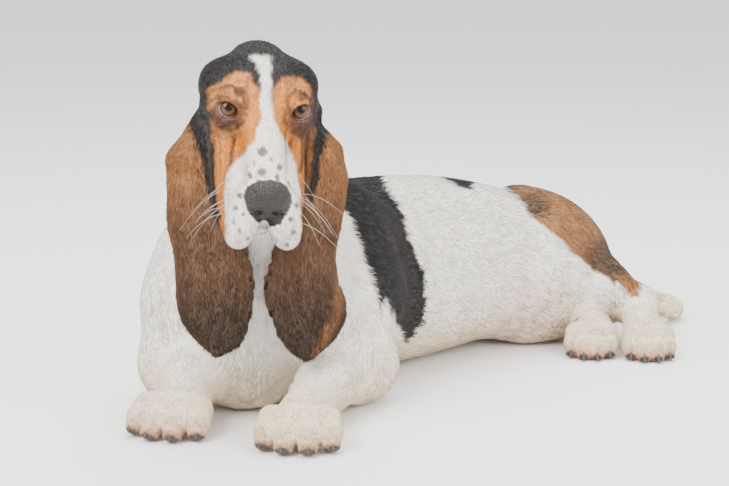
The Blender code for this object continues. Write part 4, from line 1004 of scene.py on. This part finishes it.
# ------------------------------------------------------------------ lie of the coat
trunk = np.array([.70, .68, -.16])
LIE = []
for at in np.linspace(0, 1, 8):
    c = np.array([-.11, .0, .13]) * (1 - at) + np.array([.24, .29, .10]) * at
    for off, d in (((0, 0, .12), trunk), ((.08, -.08, .02), trunk + np.array([.1, 0, -.30])), ((-.08, .08, .02), trunk + np.array([-.05, .1, -.30])), ((.07, -.07, -.08), trunk + np.array([.2, -.1, -.35]))):
        LIE.append((c + np.array(off), d))
LIE += [((-.14, -.13, .16), (0, -.1, -1)), ((-.12, -.15, .24), (0, .2, -1)), ((-.20, -.09, .16), (-.3, -.1, -1)), ((-.06, -.10, .16), (.35, .1, -1)), ((-.10, -.05, .34), (0, .6, -.7)),
        ((-.17, -.03, .24), (-.3, .5, -.7)), ((-.03, -.03, .24), (.4, .5, -.7)), ((-.137, -.13, .08), (0, -.3, -.8)), ((-.24, -.05, .12), (-.2, .1, -1)), ((.02, -.03, .12), (.3, .1, -1)),
        ((-.02, -.09, .07), (-.4, -.9, -.1)), ((-.05, -.16, .07), (-.35, -.9, -.2)), ((-.07, -.23, .045), (-.1, -1, -.2)), ((-.21, -.11, .07), (-.0, -1, -.1)), ((-.205, -.17, .06), (-.1, -1, -.2)),
        ((-.21, -.20, .04), (-.25, -1, -.3)), ((.25, .20, .14), (.6, -.3, -.8)), ((.30, .20, .09), (.9, -.1, -.4)), ((.25, .20, .05), (.9, 0, -.3)), ((.37, .20, .06), (.1, -1, -.4)),
        ((.366, .13, .04), (0, -1, -.2)), ((.295, .14, .04), (0, -1, -.2)), ((.30, .33, .09), (.6, .4, -.7)), ((.33, .28, .07), (.6, -.2, -.7)), ((.34, .36, .04), (.7, .6, -.2)),
        ((.39, .39, .03), (1, .2, 0)), ((.43, .385, .03), (.4, -.9, 0)), ((.437, .35, .03), (-.3, -1, .1)), ((.41, .315, .035), (-.7, -.8, .1))]
HEAD_LIE = [((0, .02, .04), (0, -1, .1)), ((0, -.04, .02), (0, -1, -.5)), ((.03, .04, .03), (.45, -.9, .3)), ((0, .08, .02), (0, -1, .1)), ((0, .13, .015), (.0, -1, .2)), ((.02, .11, .0), (.5, -.9, -.1)),
            ((.04, .07, -.04), (.2, -.7, -.7)), ((.035, .12, -.05), (.25, -.45, -.9)), ((.025, .15, -.05), (.2, -.1, -1)), ((.045, .03, -.03), (.3, -.9, -.5)), ((.05, 0, 0), (.5, -.8, -.6)),
            ((0, .10, -.10), (0, -1, -.3)), ((.0, .165, -.03), (.6, -.2, -1)), ((.05, .05, .0), (.4, -.9, .0)), ((.03, .06, -.008), (.5, -.8, -.4))]
for c, d in HEAD_LIE:
    for s in ((1, -1) if abs(c[0]) > 1e-6 else (1,)):
        LIE.append((H(c[0] * s, c[1], c[2]), HL * d[0] * s + HF * d[1] + HU * d[2]))
LIE_P = np.array([c for c, d in LIE])
LIE_D = np.array([np.array(d) / np.linalg.norm(d) for c, d in LIE])


def lie_of(p, n, ear):
    out = np.empty_like(p)
    for i in range(0, len(p), 20000):
        q = p[i:i + 20000]
        d2 = ((q[:, None, :] - LIE_P[None]) ** 2).sum(-1)
        w = 1 / (d2 + .0006) ** 2
        out[i:i + 20000] = (w / w.sum(1)[:, None]) @ LIE_D
    down = np.tile(np.array([0, -.05, -1.0]), (len(p), 1)) + .12 * np.stack([noise(p, .03, 31), noise(p, .03, 32), 0 * ear], -1)
    out = out * (1 - ear[:, None]) + down * ear[:, None]
    out += .30 * np.stack([noise(p, .022, 33), noise(p, .022, 34), noise(p, .022, 35)], -1)
    out -= n * (out * n).sum(1)[:, None]
    return out / np.maximum(np.linalg.norm(out, axis=1), 1e-6)[:, None]


# ------------------------------------------------------------------ coat
def hair_length(p, hd, ear, bare, nose, wet):
    l, f, u = head_coords(p)
    L = np.full(len(p), .0105)
    L = L + (.0062 - L) * np.clip(hd, 0, 1)
    muzzle = step(.05, .10, f) * hd
    L = L + (.0042 - L) * muzzle
    L = L + (.0075 - L) * ear
    foot = np.maximum(step(.075, .045, p[:, 2]) * step(-.10, -.15, p[:, 1]), step(.070, .045, p[:, 2]) * step(.215, .18, p[:, 1]) * step(.23, .25, p[:, 0]))
    L = L + (.0042 - L) * foot * (1 - ear) * (1 - hd)
    for s, c, d in eye_axes():
        r = np.linalg.norm(p - c, axis=1)
        L = L * (.45 + .55 * step(.016, .030, r))
    L = np.where((nose > .15) | (wet > .25), 0, L)
    # toe pads carry no hair
    for tips, pads in PAW_INFO.values():
        for c, d, up in pads:
            L = np.where(np.linalg.norm(p - c - d * .0035 + up * .0035, axis=1) < .0090, 0, L)
    return L


def coat_of(count, rng):
    skin_mesh.calc_loop_triangles()
    T = np.empty(len(skin_mesh.loop_triangles) * 3, np.int32)
    skin_mesh.loop_triangles.foreach_get("vertices", T)
    T = T.reshape(-1, 3)
    LT = np.empty(T.size, np.int32)
    skin_mesh.loop_triangles.foreach_get("loops", LT)
    LT = LT.reshape(-1, 3)
    uv = np.empty(len(skin_mesh.loops) * 2, np.float32)
    skin_mesh.uv_layers["OFBake"].data.foreach_get("uv", uv)
    uv = uv.reshape(-1, 2)
    A = P[T[:, 1]] - P[T[:, 0]]
    B = P[T[:, 2]] - P[T[:, 0]]
    area = np.linalg.norm(np.cross(A, B), axis=1) / 2
    mid = P[T].mean(1)
    hd, ear = is_head[T].mean(1), is_ear[T].mean(1)
    nose, wet = nose_w[T].mean(1), wet_w[T].mean(1)
    L = hair_length(mid, hd, ear, None, nose, wet)
    u_, v_ = side_uv(mid)
    bare = inside(BARE, u_, v_, 8) * step(-.30, .05, nrm[T].mean(1) @ -LOOK)
    want = np.where(L > 0, 1 / np.maximum(L * .20, .00088) ** 2, 0) * (1 - .72 * bare)
    want = want * np.where((mid[:, 2] < .004) & (nrm[T].mean(1)[:, 2] < -.7), .05, 1)
    w = area * want
    print("tufts wanted", int(w.sum()), flush=True)
    k = min(count, int(w.sum()))
    pick = rng.choice(len(T), size=k, p=w / w.sum())
    a, b = rng.random(k), rng.random(k)
    flip = a + b > 1
    a[flip], b[flip] = 1 - a[flip], 1 - b[flip]
    W = np.stack([1 - a - b, a, b], -1)
    root = (P[T[pick]] * W[..., None]).sum(1)
    n = (nrm[T[pick]] * W[..., None]).sum(1)
    n /= np.linalg.norm(n, axis=1)[:, None]
    ruv = (uv[LT[pick]] * W[..., None]).sum(1)
    E = (is_ear[T[pick]] * W).sum(1)
    length = L[pick] * rng.uniform(.70, 1.15, k)
    lie = lie_of(root, n, E)
    side = np.cross(n, lie)
    lie = lie + side * rng.normal(0, .16, k)[:, None]
    lie /= np.linalg.norm(lie, axis=1)[:, None]
    side = np.cross(n, lie)
    lift = rng.uniform(.03, .12, k) + .04 * (noise(root, .012, 36) > .3)
    wide = np.clip(length * .095, .00034, .00095) * rng.uniform(.8, 1.25, k)
    col, _, _, _ = paint(root, n)
    nm = nose_mask(root)
    col = mix(col, NOSE_COL, nm)
    col = col * rng.uniform(.88, 1.10, k)[:, None] * np.stack([rng.uniform(.98, 1.03, k), np.ones(k), rng.uniform(.96, 1.02, k)], -1)
    order = np.argsort(root[:, 0] * .7 + root[:, 1] * .7 + 3.0 * (E > .5) + 1.5 * (is_head[T[pick]].mean(1) > .5), kind="stable")
    return [x[order] for x in (root, n, lie, side, length, wide, lift, col, ruv)]


def build_coat(count=440000, per_piece=62000):
    rng = np.random.default_rng(SEED)
    root, n, lie, side, length, wide, lift, col, ruv = coat_of(count, rng)
    k = len(root)
    pieces = []
    for j, i0 in enumerate(range(0, k, per_piece)):
        s = slice(i0, min(k, i0 + per_piece))
        r, nn, ll, ss = root[s], n[s], lie[s], side[s]
        L, w, li = length[s][:, None], wide[s][:, None], lift[s][:, None]
        base = r - nn * .00045
        q0 = base - ss * w * .5
        q1 = base + ss * w * .5
        q2 = base + nn * .00055 - ll * w * .4
        tip = r + ll * L + nn * (L * li)
        V = np.stack([q0, q1, q2, tip], 1)
        m = len(r)
        o4 = np.arange(m)[:, None] * 4
        Fc = np.concatenate([o4 + np.array([[0, 1, 3]]), o4 + np.array([[1, 2, 3]]), o4 + np.array([[2, 0, 3]])], 1).reshape(-1, 3)
        # nothing of the coat goes under the floor
        V = V.reshape(-1, 3)
        V[:, 2] = np.maximum(V[:, 2], .0002)
        me = mesh_of("coat_%d" % (j + 1), V, Fc)
        # tufts darker at the root and lighter at the tip: painted shade deep in the coat, painted light at the tips
        c = np.repeat(col[s], 4, 0).reshape(-1, 4, 3) * np.array([.92, .92, .95, 1.06])[None, :, None]
        colour(me, "Col", np.clip(c.reshape(-1, 3), 0, 1))
        uvl = me.uv_layers.new(name="OFBake")
        off = np.array([[-.0015, -.0012], [.0015, -.0012], [0, 0], [0, .0018]])
        U = (ruv[s][:, None, :] + off[None]).reshape(-1, 2)
        loops = Fc.reshape(-1)
        uvl.data.foreach_set("uv", np.clip(U[loops], 0, 1).astype(np.float32).ravel())
        o = put("coat_%d" % (j + 1), me)
        finish_piece(o, COAT_MAT, "coat_white")
        pieces.append(o)
    print("coat", k, "tufts", k * 3, "triangles", flush=True)
    return pieces


coat = build_coat()

# ------------------------------------------------------------------ eyes
for s, c, d in eye_axes():
    bm = bmesh.new()
    bmesh.ops.create_uvsphere(bm, u_segments=56, v_segments=44, radius=1.0)
    me = bpy.data.meshes.new("eye")
    bm.to_mesh(me)
    bm.free()
    look = HL * (.05 * s) + HF * .64 + HU * .76
    look /= np.linalg.norm(look)
    v = coords(me)
    rot = np.array(Vector(look).to_track_quat("Z", "Y").to_matrix())
    v = v @ rot.T
    ca = v @ look
    bulge = .045 * step(.72, .90, ca)
    v = c + v * (EYE_R * .985 * (1 + bulge))[:, None]
    me.vertices.foreach_set("co", v.astype(np.float32).ravel())
    ang = np.degrees(np.arccos(np.clip(ca, -1, 1)))
    ring = noise(v * 1.0, .0011, 40) * .25
    col = np.tile(np.array([.21, .135, .12]), (len(v), 1))
    col = mix(col, np.array([.020, .011, .008]), step(58, 53, ang))
    col = mix(col, np.array([.110, .045, .020]), step(50, 38, ang) * .9)
    col = col * (1 + ring[:, None])
    col = mix(col, np.array([.004, .003, .003]), step(23, 19, ang))
    o = put("eyeball_" + ("left" if s > 0 else "right"), me)
    colour(me, "Col", np.clip(col, 0, 1))
    finish_piece(o, EYE_MAT, "eye_brown", "eye_left" if s > 0 else "eye_right")


# ------------------------------------------------------------------ claws and whiskers
def tube(points, radii, sides):
    """a closed tapering tube along points"""
    Q = np.array(points, float)
    T = np.gradient(Q, axis=0)
    T /= np.linalg.norm(T, axis=1)[:, None]
    ref = np.array([.3, .2, 1.0])
    V, F = [], []
    for q, t, r in zip(Q, T, radii):
        a = np.cross(ref, t)
        a /= np.linalg.norm(a)
        b = np.cross(t, a)
        for i in range(sides):
            w = 2 * math.pi * i / sides
            V.append(q + (a * math.cos(w) + b * math.sin(w)) * r)
    n = len(Q)
    for k in range(n - 1):
        for i in range(sides):
            j = (i + 1) % sides
            F.append((k * sides + i, k * sides + j, (k + 1) * sides + j, (k + 1) * sides + i))
    V += [Q[0] - T[0] * radii[0] * .3, Q[-1] + T[-1] * radii[-1] * .5]
    for i in range(sides):
        j = (i + 1) % sides
        F.append((n * sides, j, i, i))
        F.append((n * sides + 1, (n - 1) * sides + i, (n - 1) * sides + j, (n - 1) * sides + j))
    return V, [tuple(dict.fromkeys(f)) for f in F]


for foot, (tips, pads) in PAW_INFO.items():
    for i, (t, d, f, up) in enumerate(tips):
        pts = [t + d * (.0135 * a - .0035) - up * (.0034 * a * a) + f * (.001 * a) for a in np.linspace(0, 1, 7)]
        V, Fq = tube(pts, [.0028 * (1 - a) ** .7 + .0005 for a in np.linspace(0, 1, 7)], 10)
        V = np.array(V)
        V[:, 2] = np.maximum(V[:, 2], .0004)
        me = bpy.data.meshes.new("horn")
        me.from_pydata(V.tolist(), [], Fq)
        me.update()
        finish_piece(put("horn_%s_%d" % (foot, i + 1), me), CLAW_MAT, "claw_horn", "claw_%s_%d" % (foot, i + 1))

rng = np.random.default_rng(SEED + 3)
V, Fq, nv = [], [], 0
for s in (1, -1):
    for j in range(9):
        f0 = rng.uniform(.100, .148)
        u0 = rng.uniform(-.066, -.030)
        start = H(.060 * s, f0, u0)
        # walk in to the skin
        q = start.copy()
        for _ in range(60):
            dd = float(skin_field(q[None])[0])
            if dd < .0004:
                break
            q = q - HL * s * max(dd * .7, .0005)
        Ln = rng.uniform(.022, .058)
        out = HL * s * rng.uniform(.6, 1.0) + HF * rng.uniform(-.2, .5) - HU * rng.uniform(-.1, .9)
        out /= np.linalg.norm(out)
        pts = [q + out * (Ln * a) + np.array([0, 0, -1]) * (Ln * .55 * a * a) for a in np.linspace(0, 1, 8)]
        v, fq = tube(pts, [.00017 * (1 - a) + .00005 for a in np.linspace(0, 1, 8)], 4)
        V += v
        Fq += [tuple(x + nv for x in g) for g in fq]
        nv += len(v)
me = bpy.data.meshes.new("whiskers")
me.from_pydata([tuple(x) for x in V], [], Fq)
me.update()
finish_piece(put("whiskers", me), HAIR_MAT, "coat_white")

finish_piece(skin, SKIN_MAT, "coat_white", "head", "neck", "thorax", "abdomen", "hindquarters", "tail", "foreleg_left", "foreleg_right", "forepaw_left", "forepaw_right",
             "hindleg_left", "hindleg_right", "hindpaw_left", "hindpaw_right", "nose", "ear_left", "ear_right")

# ------------------------------------------------------------------ floor, light, camera
bpy.ops.mesh.primitive_plane_add(size=60, location=(0, 0, 0))
ground = bpy.context.active_object
ground.name = "floor"
ground.data.materials.append(plain("floor", (.93, .93, .93), .75, 3.0, .004))


def area(name, place, aim, size, power, colour_=(1, 1, 1)):
    L = bpy.data.lights.new(name, "AREA")
    L.shape = "DISK"
    L.size = size
    L.energy = power
    L.color = colour_
    o = bpy.data.objects.new(name, L)
    bpy.context.scene.collection.objects.link(o)
    a, b = to_part(np.array(place, float)), to_part(np.array(aim, float))
    o.location = a
    o.rotation_euler = Vector(b - a).to_track_quat("-Z", "Y").to_euler()
    return o


area("key", (-1.6, -2.0, 2.3), (0, 0, .15), 1.9, 145)
area("fill", (2.0, -1.6, 1.5), (0, 0, .15), 2.2, 60)
area("top", (.2, .6, 2.7), (0, .1, 0), 2.6, 84)
world = bpy.data.worlds.new("world")
bpy.context.scene.world = world
world.use_nodes = True
world.node_tree.nodes["Background"].inputs[0].default_value = (1, 1, 1, 1)
world.node_tree.nodes["Background"].inputs[1].default_value = 1.45

cam = bpy.data.objects.new("camera", bpy.data.cameras.new("camera"))
bpy.context.scene.collection.objects.link(cam)
cam.data.sensor_width = 36.0
cam.data.lens = 84.69
cam.location = to_part(EYE_AT)
cam.rotation_euler = (math.radians(90 - 10.9), 0, TURN)
cam.data.clip_end = 50
bpy.context.scene.camera = cam
